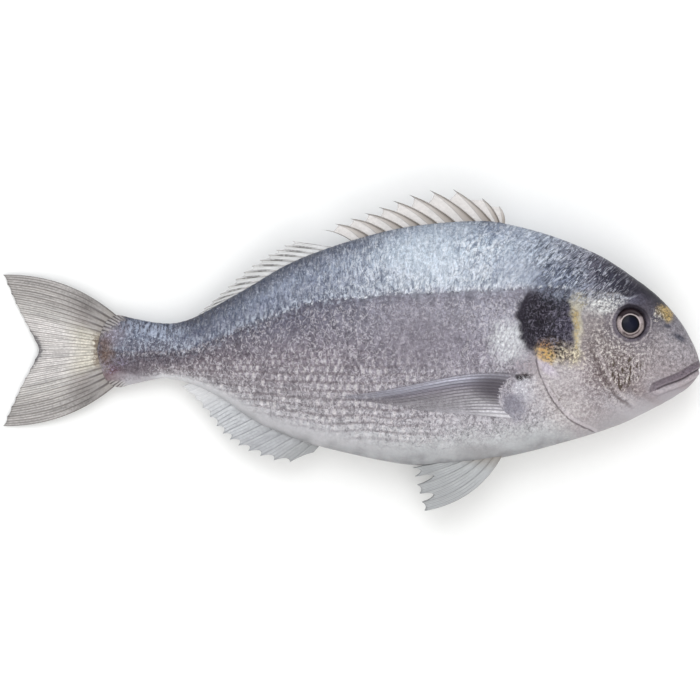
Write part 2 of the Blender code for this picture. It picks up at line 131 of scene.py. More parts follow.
# Nostrils: place, radii and turn
NOSTRILS = (
    ((96.8, 1.75), (0.95, 0.4), -30.0), ((95.1, 3.4), (0.5, 0.26), -8.0),
)

# Ridges (+) and grooves (-) by the distance from a line: height, distance and width, in mm
SIDE_PITS = ((-0.12, 0.0, 0.7),)
LIP_RELIEF = ((-0.9, 0.0, 0.5), (0.5, 1.5, 0.8), (0.4, -1.4, 0.7))
MOUTH_CORNER = ((-0.25, -0.2, 1.6),)
CHEEK_RELIEF = ((-0.2, 0.7, 1.1),)
# The same by the distance from the middle of an eye, and the depth of its socket
ORBIT_RELIEF = ((0.6, 7.5, 0.8), (-0.3, 9.2, 0.8))
SOCKET_DEPTH = 3.4
# How far the breast fin's fleshy root stands out and how deep the nostrils are, in mm
LOBE_HEIGHT = 0.55
NOSTRIL_DEPTH = 0.5
# Unevenness of the flesh and of the head's bones: height in mm, and bumps for each metre
FLESH_BUMPS = (0.22, 45)
BONE_BUMPS = (0.12, 260)

# Rays of each fin: number against base, length (per cent) and lean (degrees)
SPINE_BASE = ((0, 72.1), (1, 71.3), (2, 70.1), (3, 67.7), (4, 64.8), (10, 50.1))
SPINE_LENGTH = ((0, 2.6), (1, 4.2), (2, 7.1), (3, 7.7), (5, 7.0), (7, 5.7), (10, 4.7))
SPINE_LEAN = ((0, 70.0), (1, 54.0), (2, 40.0), (4, 31.0), (7, 21.0), (10, 20.0))
SOFT_BASE = ((0, 47.4), (12, 31.4))
SOFT_LENGTH = ((0, 5.7), (4, 5.0), (9, 4.2), (12, 3.9))
SOFT_LEAN = ((0, 8.0), (6, -3.0), (12, -27.0))
ANAL_BASE = ((0, 45.6), (1, 44.6), (2, 43.3), (13, 27.0))
ANAL_LENGTH = ((0, 1.2), (1, 4.1), (2, 5.0), (4, 5.5), (6, 5.1), (9, 3.5), (13, 1.2))
ANAL_LEAN = ((0, -48.0), (1, -39.0), (3, -29.0), (6, -25.0), (9, -30.0), (13, -22.0))
# How far the sheet between two spines reaches along them
SPINY_REACH = ((0.0, 1.0), (0.09, 0.86), (0.5, 0.73), (0.91, 0.62), (1.0, 1.0))
# The tail: its outer rays' root, how far the middle ones start behind it, the half heights
# at the root, at the upper tip and at the lower one, the fork's depth and the rays' bow
TAIL_RAYS = 17
TAIL_BANDS = TAIL_RAYS - 1
TAIL_ROOT = 16.9
TAIL_ROOT_BOW = 2.4
TAIL_HEIGHTS = (4.6, 10.85, 10.95)
TAIL_FORK = 5.25
TAIL_FORK_POWER = 1.25
TAIL_FORK_WAVE = 0.55
TAIL_BOW = 1.75
PELVIC_BASE = ((71.8, -14.8), (66.2, -15.4))
PELVIC_TIP = ((60.6, -22.95), (58.9, -16.8))
PELVIC_NOTCH = (0.1, 0.6, 0.15, 1.1, 0.5)
PELVIC_BOW = -1.7
# How far each belly fin stands to its side of the middle plane, in mm
PELVIC_ASIDE = 4.0
BREAST_ROOT = ((74.6, -3.75), (72.6, -5.0), (71.6, -6.6), (71.9, -8.2), (73.6, -9.7))
BREAST_ROOT_SHARES = (0.0, 0.2, 0.5, 0.8, 1.0)
BREAST_LOBE = ((73.7, -6.7), (1.7, 3.4), 12.0)
BREAST_TIP = ((48.4, -6.6), (60.6, -8.6))
BREAST_BOW = 2.5
BREAST_BANDS = 14
# Half the thickness of a fin's sheet between its rays, in mm
WEB = 0.12

# The lamps: name, place and size in metres, power in watts and colour
LAMPS = (
    ("key", (-0.15, 1.0, 1.2), 1.3, 12, "fbfdff"),
    ("overhead", (0.1, -0.1, 1.8), 2.0, 11, "ffffff"),
    ("fill", (0.2, -1.3, 0.9), 1.6, 13, "fffdf8"),
)
# The camera's height, and the level at which its picture is as wide as the fish is long
CAMERA_HEIGHT = 1.7
SHARP_LEVEL = 0.016


def curve(keys):
    """Returns a smooth function through (place, value) keys, for numbers or arrays."""
    places, values = (np.array(side, float) for side in zip(*keys))
    ends = np.arange(len(places))
    low, high = np.maximum(ends - 1, 0), np.minimum(ends + 1, len(places) - 1)
    slopes = (values[high] - values[low]) / (places[high] - places[low])

    def value(place):
        place = np.clip(place, places[0], places[-1])
        i = np.clip(np.searchsorted(places, place) - 1, 0, len(places) - 2)
        step = places[i + 1] - places[i]
        t = (place - places[i]) / step
        return (
            values[i] * (2 * t**3 - 3 * t**2 + 1)
            + slopes[i] * step * (t**3 - 2 * t**2 + t)
            + values[i + 1] * (3 * t**2 - 2 * t**3)
            + slopes[i + 1] * step * (t**3 - t**2)
        )

    return value


back, belly, thickest = curve(BACK), curve(BELLY), curve(THICKEST)
thickness, lie = curve(THICKNESS), curve(LIE)
back_sharpness, belly_sharpness = curve(BACK_SHARPNESS), curve(BELLY_SHARPNESS)
side_line = curve(SIDE_LINE)


def step_between(low, high, value):
    """0 up to low, 1 from high, and smooth between them."""
    t = np.clip((value - low) / (high - low), 0, 1)
    return t * t * (3 - 2 * t)


def sizes():
    return bpy.context.scene.bream_sizes


def world(along, up, z):
    """Points in metres, as an array with x, y and z in its last axis."""
    scale = sizes().total_length / 100
    along, up, z = np.broadcast_arrays(along, up, z)
    return np.stack([(along - 50) * scale, up * scale, z], axis=-1)


def flank(along, up):
    """The half thickness of the body at a place of its side view."""
    above = up > thickest(along)
    reach = np.where(above, back(along) - thickest(along), thickest(along) - belly(along))
    power = np.where(above, back_sharpness(along), belly_sharpness(along))
    c = np.minimum(np.abs(up - thickest(along)) / reach, 1)
    return thickness(along) * sizes().thickness / 2 * np.sqrt(1 - c * c) ** power


def on_flank(along, up, side, out=0.0):
    """Points over the skin of one flank: side is 1 for the right, -1 for the left."""
    return world(along, up, lie(along) * MM + side * (flank(along, up) + out))


def eye_placing(side):
    """Where an eye sits: its centre, and the turn that faces its Z outwards."""
    step = 0.3
    along, up = EYE_PLACE
    here = Vector(on_flank(along, up, side))
    ahead = Vector(on_flank(along + step, up, side)) - here
    above = Vector(on_flank(along, up + step, side)) - here
    normal = ahead.cross(above).normalized() * side
    centre = here - normal * (sizes().eye_depth - sizes().eye_bulge)
    return Matrix.Translation(centre) @ normal.to_track_quat("Z", "Y").to_matrix().to_4x4()


def smooth_line(line, count=60):
    """More places along the smooth curve through a few."""
    number = np.linspace(0, len(line) - 1, count)
    sides = (curve(list(enumerate(values)))(number) for values in zip(*line))
    return list(zip(*sides))


def line_distance(along, up, line):
    """Distance in mm from a smooth line of places: positive to the left of its way."""
    line = smooth_line(line)
    scale = sizes().total_length / 100 / MM
    best = np.full(np.shape(along), 1e9)
    sign = np.ones(np.shape(along))
    for (ax, ay), (bx, by) in zip(line, line[1:]):
        dx, dy = bx - ax, by - ay
        t = np.clip(((along - ax) * dx + (up - ay) * dy) / (dx * dx + dy * dy), 0, 1)
        gap = np.hypot(along - ax - t * dx, up - ay - t * dy) * scale
        cross = dx * (up - ay) - dy * (along - ax)
        closer = gap < best
        best = np.where(closer, gap, best)
        sign = np.where(closer, np.where(cross > 0, 1.0, -1.0), sign)
    return best * sign


def ellipse(along, up, centre, radii, turn):
    """Distance from an ellipse's centre as a share of its radius."""
    c, s = math.cos(math.radians(turn)), math.sin(math.radians(turn))
    dx, dy = along - centre[0], up - centre[1]
    return np.hypot((dx * c + dy * s) / radii[0], (dy * c - dx * s) / radii[1])


def scale_ramp(s, t):
    """The scale pattern: 0 at each scale's free rear edge, and growing towards its front."""
    first = np.mod(s - SCALE_BOW * (t - np.round(t)) ** 2, 1)
    second = np.mod(s + 0.5 - SCALE_BOW * (t + 0.5 - np.round(t + 0.5)) ** 2, 1)
    return np.minimum(first, second)


# Where the tail's rays would meet, and how many there are for each unit of slope
FAN_CENTRE = 23.5
FAN_RAYS = 15.0

# Skin grid and relief
GRID_ALONG = 392
GRID_RIGHT = 160
GRID_LEFT = 84
SNOUT_CROWDING = 1.35
SECTION_RATIO = 2.4
SCALE_BOW = 1.3
SCALE_PITCH = ((13.7, 1.9), (25.0, 2.3), (45.0, 3.1), (75.0, 3.2), (86.0, 2.6), (100.0, 2.2))
SCALE_HEIGHT_SHARE = 2.2
# Low on the flank the rows slope less than the side line does
ROW_SLOPE_SHARE = 0.3
ROW_LEVEL = 5.3


def even_turns(count):
    """Turns from back to belly with even steps round an ellipse-like section."""
    fine = np.linspace(0, math.pi, 2001)
    speed = np.hypot(SECTION_RATIO * np.sin(fine), np.cos(fine))
    arc = np.concatenate([[0], np.cumsum((speed[1:] + speed[:-1]) / 2)])
    return np.interp(np.linspace(0, arc[-1], count + 1), arc, fine)


def skin_points():
    """The skin's grid of places: along and turn, plus the points without relief."""
    first, last = BACK[0][0], BACK[-1][0]
    share = 1 - (1 - np.linspace(0, 1, GRID_ALONG)) ** SNOUT_CROWDING
    along = (first + (last - first) * share)[:, None]
    turns = np.concatenate([
        even_turns(GRID_RIGHT)[:-1], math.pi + even_turns(GRID_LEFT)])[None, :]
    c, s = np.cos(turns), np.sin(turns)
    reach = np.where(c > 0, back(along) - thickest(along), thickest(along) - belly(along))
    power = np.where(c > 0, back_sharpness(along), belly_sharpness(along))
    half = thickness(along) * sizes().thickness / 2
    up = thickest(along) + reach * c
    z = lie(along) * MM + half * np.sign(s) * np.abs(s) ** power
    along = np.broadcast_to(along, up.shape)
    return along, up, np.where(s >= 0, 1.0, -1.0), world(along, up, z)


def grid_normals(points):
    """Outward directions of a closed grid of points."""
    ahead = np.gradient(points, axis=0)
    ring = points[:, :-1]
    round_it = (np.roll(ring, -1, axis=1) - np.roll(ring, 1, axis=1)) / 2
    round_it = np.concatenate([round_it, round_it[:, :1]], axis=1)
    normal = np.cross(round_it, ahead)
    return normal / np.maximum(np.linalg.norm(normal, axis=-1, keepdims=True), 1e-12)


def skin_fields(along, up, points):
    """Everything on the skin that is known by place: levels, lines and scale places."""
    middle = side_line(along)
    above = (back(along) - up) / np.maximum(back(along) - middle, 1e-6)
    below = 1 + (middle - up) / np.maximum(middle - belly(along), 1e-6)
    pitch = curve(SCALE_PITCH)
    fine = np.linspace(13.7, 100, 800)
    travel = np.concatenate([[0], np.cumsum(np.diff(fine) * sizes().total_length * 10 / pitch(
        (fine[1:] + fine[:-1]) / 2))])
    ring = np.concatenate([
        np.zeros((points.shape[0], 1)),
        np.cumsum(np.linalg.norm(np.diff(points, axis=1), axis=-1), axis=1)], axis=1)
    right = GRID_RIGHT + 1
    level_arc = np.empty_like(along)
    for i in range(points.shape[0]):
        at = np.interp(-middle[i, 0], -up[i, :right], ring[i, :right])
        level_arc[i, :right] = at - ring[i, :right]
        left_ring = ring[i, -1] - ring[i, right:]
        at = np.interp(-middle[i, 0], -up[i, right:][::-1], left_ring[::-1])
        level_arc[i, right:] = at - left_ring
    drift = np.array([noise.noise(Vector((p[0], p[1], 0)) * 60) for p in points.reshape(-1, 3)])
    drift = drift.reshape(along.shape)
    level = np.where(up > middle, np.clip(above, 0, 1), np.clip(below, 1, 2))
    turned = step_between(1.0, 1.5, level) * step_between(88.0, 60.0, along)
    sunk = turned * (ROW_LEVEL + (ROW_SLOPE_SHARE - 1) * middle) * sizes().total_length / 100
    return {
        "level": level,
        "side_line": level_arc / MM,
        "gill": line_distance(along, up, GILL_EDGE),
        "cheek": line_distance(along, up, CHEEK_EDGE),
        "mouth": line_distance(along, up, MOUTH_LINE),
        "head": line_distance(along, up, HEAD_EDGE),
        "scale_s": np.interp(along, fine, travel) + 0.7 * drift,
        "scale_t": (level_arc - sunk) / MM / (pitch(along) * SCALE_HEIGHT_SHARE) + 0.2 * drift,
    }


def gill_raise(along, up):
    """How far the gill cover stands out, as a share of its step."""
    dx, dy = along - GILL_CENTRE[0], up - GILL_CENTRE[1]
    ex, ey = (np.array(smooth_line(GILL_EDGE, 120)) - GILL_CENTRE).T
    angle = np.mod(np.arctan2(ey, ex), 2 * math.pi)
    radius = np.interp(np.mod(np.arctan2(dy, dx), 2 * math.pi), angle, np.hypot(ex, ey))
    turn = (np.mod(np.arctan2(dy, dx), 2 * math.pi) - angle[0]) / (angle[-1] - angle[0])
    depth = (1 - np.hypot(dx, dy) / radius) / 0.9
    ends = np.minimum(turn, 1 - turn)
    fade = step_between(-0.02, 0.12, ends) * np.minimum(1.0, 0.25 + 4 * np.maximum(ends, 0))
    places, values = zip(*GILL_RAISE)
    return fade * np.interp(depth, places, values, 0.0, 0.0)


def ridges(distance, shapes):
    """Ridges and grooves at distances from a line, in metres."""
    return MM * sum(
        height * np.exp(-((distance - centre) / width) ** 2) for height, centre, width in shapes)


def skin_relief(along, up, fields):
    """How far each point of the skin moves outwards, in metres."""
    scaled = step_between(1.0, 5.0, fields["head"]) * step_between(14.5, 18.0, along)
    scaled = scaled * (1 - 0.75 * step_between(1.72, 1.92, fields["level"]))
    ramp = scale_ramp(fields["scale_s"], fields["scale_t"])
    out = -sizes().scale_relief * 1.6 * ramp * scaled
    # The side line is a row of small pits
    pits = ridges(fields["side_line"], SIDE_PITS) * scaled
    out = out + pits * step_between(0.3, 0.7, np.mod(fields["scale_s"], 1))
    # The mouth: a groove between two lips, which end at its corner
    lips = step_between(93.4, 95.2, along)
    mouth = fields["mouth"]
    corner = step_between(92.2, 94.0, along) * (1 - step_between(95.2, 96.4, along))
    out = out + lips * ridges(mouth, LIP_RELIEF) + corner * ridges(mouth, MOUTH_CORNER)
    # The fleshy root of the breast fin, and the nostrils
    lobe = np.exp(-ellipse(along, up, *BREAST_LOBE) ** 4)
    out = out + LOBE_HEIGHT * MM * lobe
    for nostril in NOSTRILS:
        out = out - NOSTRIL_DEPTH * MM * np.exp(-ellipse(along, up, *nostril) ** 2)
    # The cheek's edge steps down to the gill cover's plate
    along_edge = step_between(2.0, 4.0, 6.6 - np.abs(up + 1.4))
    return out + along_edge * ridges(fields["cheek"], CHEEK_RELIEF)


def skin_bumps(points, along, fields):
    """Soft unevenness of flesh and of the bones of the head, in metres."""
    flat = points.reshape(-1, 3)
    (high, number), (bone_high, bone_number) = FLESH_BUMPS, BONE_BUMPS
    broad = np.array([noise.noise(Vector(p) * number) for p in flat])
    fine = np.array([noise.noise(Vector((p[0], p[1], 9.0)) * bone_number) for p in flat])
    head = step_between(-1.0, 3.0, -fields["head"]).ravel()
    return MM * (broad * high + fine * bone_high * head).reshape(along.shape)


def socket_shape(points, side):
    """The rim of skin round each eye and the hollow it sits in, in metres."""
    out = np.zeros(points.shape[:-1])
    for flank_side in (1, -1):
        placing = eye_placing(flank_side)
        inverse = np.array(placing.inverted())
        local = points @ inverse[:3, :3].T + inverse[:3, 3]
        radius = np.hypot(local[..., 0], local[..., 1]) / MM
        mine = (side == flank_side) & (np.abs(local[..., 2]) < 14 * MM)
        hollow = SOCKET_DEPTH * MM * (1 - step_between(6.2, ORBIT_RADIUS, radius))
        out = np.where(mine, ridges(radius, ORBIT_RELIEF) - hollow, out)
    return out


# How the finished surfaces are drawn


def deselect():
    for o in bpy.data.objects:
        o.select_set(False)


def linear(colour):
    """Scene-linear colour from an sRGB hex such as "c8d0da"."""
    parts = [int(colour[i:i + 2], 16) / 255 for i in (0, 2, 4)]
    return [c / 12.92 if c <= 0.04045 else ((c + 0.055) / 1.055) ** 2.4 for c in parts]


def hexed(colour):
    """A surface colour that looks like a hex, or like one of the fish's named colours."""
    colour = getattr(bpy.context.scene.bream_colours, colour, colour)
    return (*(c / LIGHT_LEVEL for c in linear(colour)), 1.0)


class Surface:
    """A material under construction: each method adds nodes and returns their output."""

    def __init__(self, name, **constants):
        self.material = bpy.data.materials.new(name)
        self.material.use_nodes = True
        self.tree = self.material.node_tree
        self.shader = self.tree.nodes["Principled BSDF"]
        self.colour = None
        self.set(**constants)

    def add(self, kind, sockets=(), output=0, **settings):
        """Adds a node; sockets maps an input's name or number to a value or an output."""
        node = self.tree.nodes.new(kind)
        for key, value in settings.items():
            setattr(node, key, value)
        for key, value in dict(sockets).items():
            if isinstance(value, bpy.types.NodeSocket):
                self.tree.links.new(value, node.inputs[key])
            else:
                node.inputs[key].default_value = value
        return node.outputs[output]

    def set(self, **sockets):
        """Sets or links the shader's own inputs, such as base_color or roughness."""
        for key, value in sockets.items():
            socket = self.shader.inputs[SOCKETS[key]]
            if isinstance(value, bpy.types.NodeSocket):
                self.tree.links.new(value, socket)
            else:
                socket.default_value = value

    def calc(self, operation, a, b=0.0):
        return self.add("ShaderNodeMath", {0: a, 1: b}, operation=operation)

    def plus(self, a, b):
        return self.calc("ADD", a, b)

    def minus(self, a, b):
        return self.calc("SUBTRACT", a, b)

    def times(self, first, *others):
        """The product of several numbers, each a value or an output."""
        for other in others:
            first = self.calc("MULTIPLY", first, other)
        return first

    def off(self, value, centre):
        """How far a number lies from another."""
        return self.calc("ABSOLUTE", self.minus(value, centre))

    def sway(self, noise_value, width):
        """A noise as a push to both sides, as wide as given in all."""
        return self.times(self.minus(noise_value, 0.5), width)

    def between(self, value, low, high, start=0.0, end=1.0, kind="SMOOTHSTEP"):
        """A change from start to end as the value goes from low to high."""
        return self.add(
            "ShaderNodeMapRange",
            {"Value": value, "From Min": low, "From Max": high, "To Min": start, "To Max": end},
            interpolation_type=kind)

    def band(self, value, centre, outer, inner):
        """1 within inner of a centre and 0 beyond outer."""
        return self.between(self.off(value, centre), outer, inner)

    def sawtooth(self, value):
        """How far a number lies from the next whole one, from 0 to a half."""
        return self.calc("PINGPONG", value, 0.5)

    def lines(self, vector, size, width):
        """1 on thin wandering lines and 0 between them."""
        value = self.add(
            "ShaderNodeTexNoise",
            {"Vector": vector, "Scale": 1 / size, "Detail": 1.5, "Distortion": 0.8},
            output="Fac")
        return self.band(value, 0.5, width, width * 0.2)

    def coordinates(self, uv_name=None):
        """The object's own coordinates, or those of a UV layer."""
        if uv_name is None:
            return self.add("ShaderNodeTexCoord", output="Object")
        return self.add("ShaderNodeUVMap", uv_map=uv_name)

    def parts(self, vector):
        """The first two numbers of a vector."""
        return self.add("ShaderNodeSeparateXYZ", {0: vector}).node.outputs[:2]

    def attribute(self, name):
        return self.add("ShaderNodeAttribute", output="Fac", attribute_name=name)

    def coloured(self, name):
        """The colour and the alpha of a colour attribute."""
        colour = self.add("ShaderNodeAttribute", output="Color", attribute_name=name)
        return colour, colour.node.outputs["Alpha"]

    def mix(self, factor, first, second):
        """A number between two others."""
        return self.add("ShaderNodeMix", {0: factor, 2: first, 3: second})

    def blend(self, factor, first, second, kind="MIX"):
        """A colour between two others, each a hex or an output."""
        first, second = (hexed(c) if isinstance(c, str) else c for c in (first, second))
        node = self.tree.nodes.new("ShaderNodeMix")
        node.data_type, node.blend_type = "RGBA", kind
        for key, value in ((0, factor), (6, first), (7, second)):
            if isinstance(value, bpy.types.NodeSocket):
                self.tree.links.new(value, node.inputs[key])
            else:
                node.inputs[key].default_value = value
        return node.outputs[2]

    def paint(self, tint, *covers):
        """Lays a tint over the colour so far, as strongly as the covers' product says."""
        self.colour = self.blend(self.times(*covers), self.colour, tint)

    def lighten(self, amount):
        """Makes the colour so far lighter or darker by a factor that is about 1."""
        self.colour = self.add(
            "ShaderNodeHueSaturation", {"Color": self.colour, "Value": amount})

    def shade_by(self, tone, brightness):
        """Multiplies the colour so far, a pattern of the given brightness, by a tone."""
        self.colour = self.blend(1.0, self.colour, tone, "MULTIPLY")
        self.lighten(LIGHT_LEVEL / brightness)

    def ramp(self, value, stops, top=1.0):
        """A colour ramp whose stops are (value, hex), with values from 0 to top."""
        share = self.calc("DIVIDE", value, top)
        node = self.tree.nodes.new("ShaderNodeValToRGB")
        self.tree.links.new(share, node.inputs[0])
        elements = node.color_ramp.elements
        while len(elements) < len(stops):
            elements.new(0.5)
        for element, (place, colour) in zip(elements, stops):
            element.position = place / top
            element.color = hexed(colour)
        return node.outputs[0]

    def noise(self, vector, size, detail=2.0, rough=0.55):
        """Noise whose features are about the given size, in the vector's own unit."""
        return self.add(
            "ShaderNodeTexNoise",
            {"Vector": vector, "Scale": 1 / size, "Detail": detail, "Roughness": rough},
            output="Fac")

    def mapped(self, vector, location=(0, 0, 0), rotation=(0, 0, 0), scale=(1, 1, 1),
               kind="POINT"):
        return self.add(
            "ShaderNodeMapping",
            {"Vector": vector, "Location": location, "Rotation": rotation, "Scale": scale},
            vector_type=kind)

    def spot(self, place, centre, radii, turn, soft):
        """1 inside an ellipse of the side view and 0 outside, with a soft edge."""
        local = self.mapped(
            place, (*centre, 0), (0, 0, math.radians(turn)), (*radii, 1e6), "TEXTURE")
        length = self.add(
            "ShaderNodeVectorMath", {0: local}, output="Value", operation="LENGTH")
        return self.between(length, 1 - soft, 1 + soft, 1.0, 0.0)

    def bump(self, height, distance, strength, before=None):
        sockets = {"Height": height, "Distance": distance, "Strength": strength}
        if before is not None:
            sockets["Normal"] = before
        return self.add("ShaderNodeBump", sockets)


SOCKETS = {
    "base_color": "Base Color", "roughness": "Roughness", "normal": "Normal", "alpha": "Alpha",
    "coat": "Coat Weight", "coat_roughness": "Coat Roughness", "coat_ior": "Coat IOR",
    "subsurface": "Subsurface Weight", "subsurface_radius": "Subsurface Radius",
    "subsurface_scale": "Subsurface Scale", "specular": "Specular IOR Level",
}


def scale_nodes(surface, s, t):
    """The scale pattern as outputs: the ramp, a number for each scale and its sides."""
    calc, plus, minus = surface.calc, surface.plus, surface.minus
    ramps, numbers, sides = [], [], []
    for shift in (0.0, 0.5):
        row = calc("ROUND", plus(t, shift))
        aside = minus(plus(t, shift), row)
        travel = minus(plus(s, shift), surface.times(aside, aside, SCALE_BOW))
        ramps.append(calc("FRACT", travel))
        sides.append(calc("ABSOLUTE", aside))
        cell = surface.add(
            "ShaderNodeCombineXYZ", {0: calc("FLOOR", travel), 1: row, 2: shift})
        numbers.append(surface.add(
            "ShaderNodeTexWhiteNoise", {"Vector": cell}, output="Value",
            noise_dimensions="3D"))
    first = calc("LESS_THAN", *ramps)
    ramp = calc("MINIMUM", *ramps)
    return ramp, surface.mix(first, *numbers[::-1]), surface.mix(first, *sides[::-1])


# How bright a white surface facing up is in this scene
LIGHT_LEVEL = 1.27

# The skin's colours from the back's ridge (0) by the side line (1) to the belly's edge (2). The
# pale blue band above the side line is the scales' own silvery blue with a painted highlight in
# it, and the darker last stop at the belly's edge is painted shade
FRONT_TONES = (
    (0.0, "68717f"), (0.1, "8d97aa"), (0.22, "a2adbe"), (0.4, "silver_back"), (0.66, "c0c8d6"),
    (0.88, "b3bcc9"), (0.97, "aaadba"), (1.03, "93919e"), (1.12, "9c9aa6"),
    (1.35, "928d99"), (1.6, "a39ea6"), (1.77, "b6b3b9"), (1.87, "c0c1c4"), (1.95, "b0b1b4"),
    (2.0, "8f8f92"))
MIDDLE_TONES = (
    (0.0, "4e5260"), (0.12, "676b7a"), (0.41, "878fa2"), (0.66, "8b91a4"), (0.9, "7f8495"),
    (1.0, "6b6a79"), (1.08, "6c6a79"), (1.2, "797581"), (1.4, "88808a"), (1.6, "9f99a0"),
    (1.72, "aca8ad"), (1.86, "bfbec3"), (1.94, "c2c1c5"), (2.0, "a2a2a5"))
REAR_TONES = (
    (0.0, "43444f"), (0.15, "545460"), (0.32, "606371"), (0.54, "5b5d70"), (0.8, "787a89"),
    (0.93, "767887"), (1.0, "5f5a66"), (1.15, "756f77"), (1.34, "6c636c"), (1.5, "827a82"),
    (1.63, "8d858b"), (1.77, "9c989d"), (1.9, "d6d5d9"), (2.0, "cbcbce"))
# The head's colours from the throat (0) to the forehead (1)
HEAD_TONES = (
    (0.0, "9a979b"), (0.14, "aca8ac"), (0.3, "a89fa3"), (0.45, "9b9094"), (0.62, "9a9295"),
    (0.76, "8b868b"), (0.84, "77747d"), (0.92, "595863"), (1.0, "4b4955"))

# The tail's tones from its middle (0) to its outer rays (1), near its root and near its rear,
# and how bright its pattern of rays is on the whole
TAIL_NEAR = ((0.0, "d2cdc2"), (0.36, "ccc7bb"), (0.58, "9c9693"), (0.8, "837e7c"), (1.0, "85817f"))
TAIL_FAR = ((0.0, "d0ccca"), (0.4, "d4d0ce"), (0.55, "c4c1be"), (0.72, "b1adaa"), (1.0, "aba7a5"))
TAIL_PATTERN = 0.77
# The breast fin's tones from its front ray (0) to its last, and its pattern's brightness
BREAST_TONES = (
    (0.0, "a19fa9"), (1.7, "a2a2ae"), (2.7, "8a8993"), (3.6, "736f79"), (4.8, "817d84"),
    (7.0, "918e93"), (9.5, "a3a1a5"), (11.5, "b1afb4"), (13.0, "c0bec3"), (14.0, "c8c6cc"))
BREAST_PATTERN = 0.6
# The eye's tones by the distance from its middle, in mm
ORBIT_RADIUS = 7.0
IRIS_TONES = (
    (0.0, "a39a9b"), (4.25, "8d8180"), (4.5, "55494b"), (4.9, "5f5352"), (5.25, "a49899"),
    (5.7, "b5a8a8"), (6.05, "6d6266"), (6.3, "463d44"), (6.8, "352f36"))
LENS_TONES = ((0.0, "11142a"), (2.6, "0c0e20"), (3.6, "050409"))

# How far the patches' outlines wander, in per cent, the wander's grain, and its seed, without
# which each run would draw another
WANDER = 0.55
WANDER_GRAIN = 0.9
WANDER_SEED = 1
# The photo's width and the height of its middle, in pixels: patches are placed by its pixels
PHOTO_WIDTH = 700
PHOTO_MIDDLE = 350
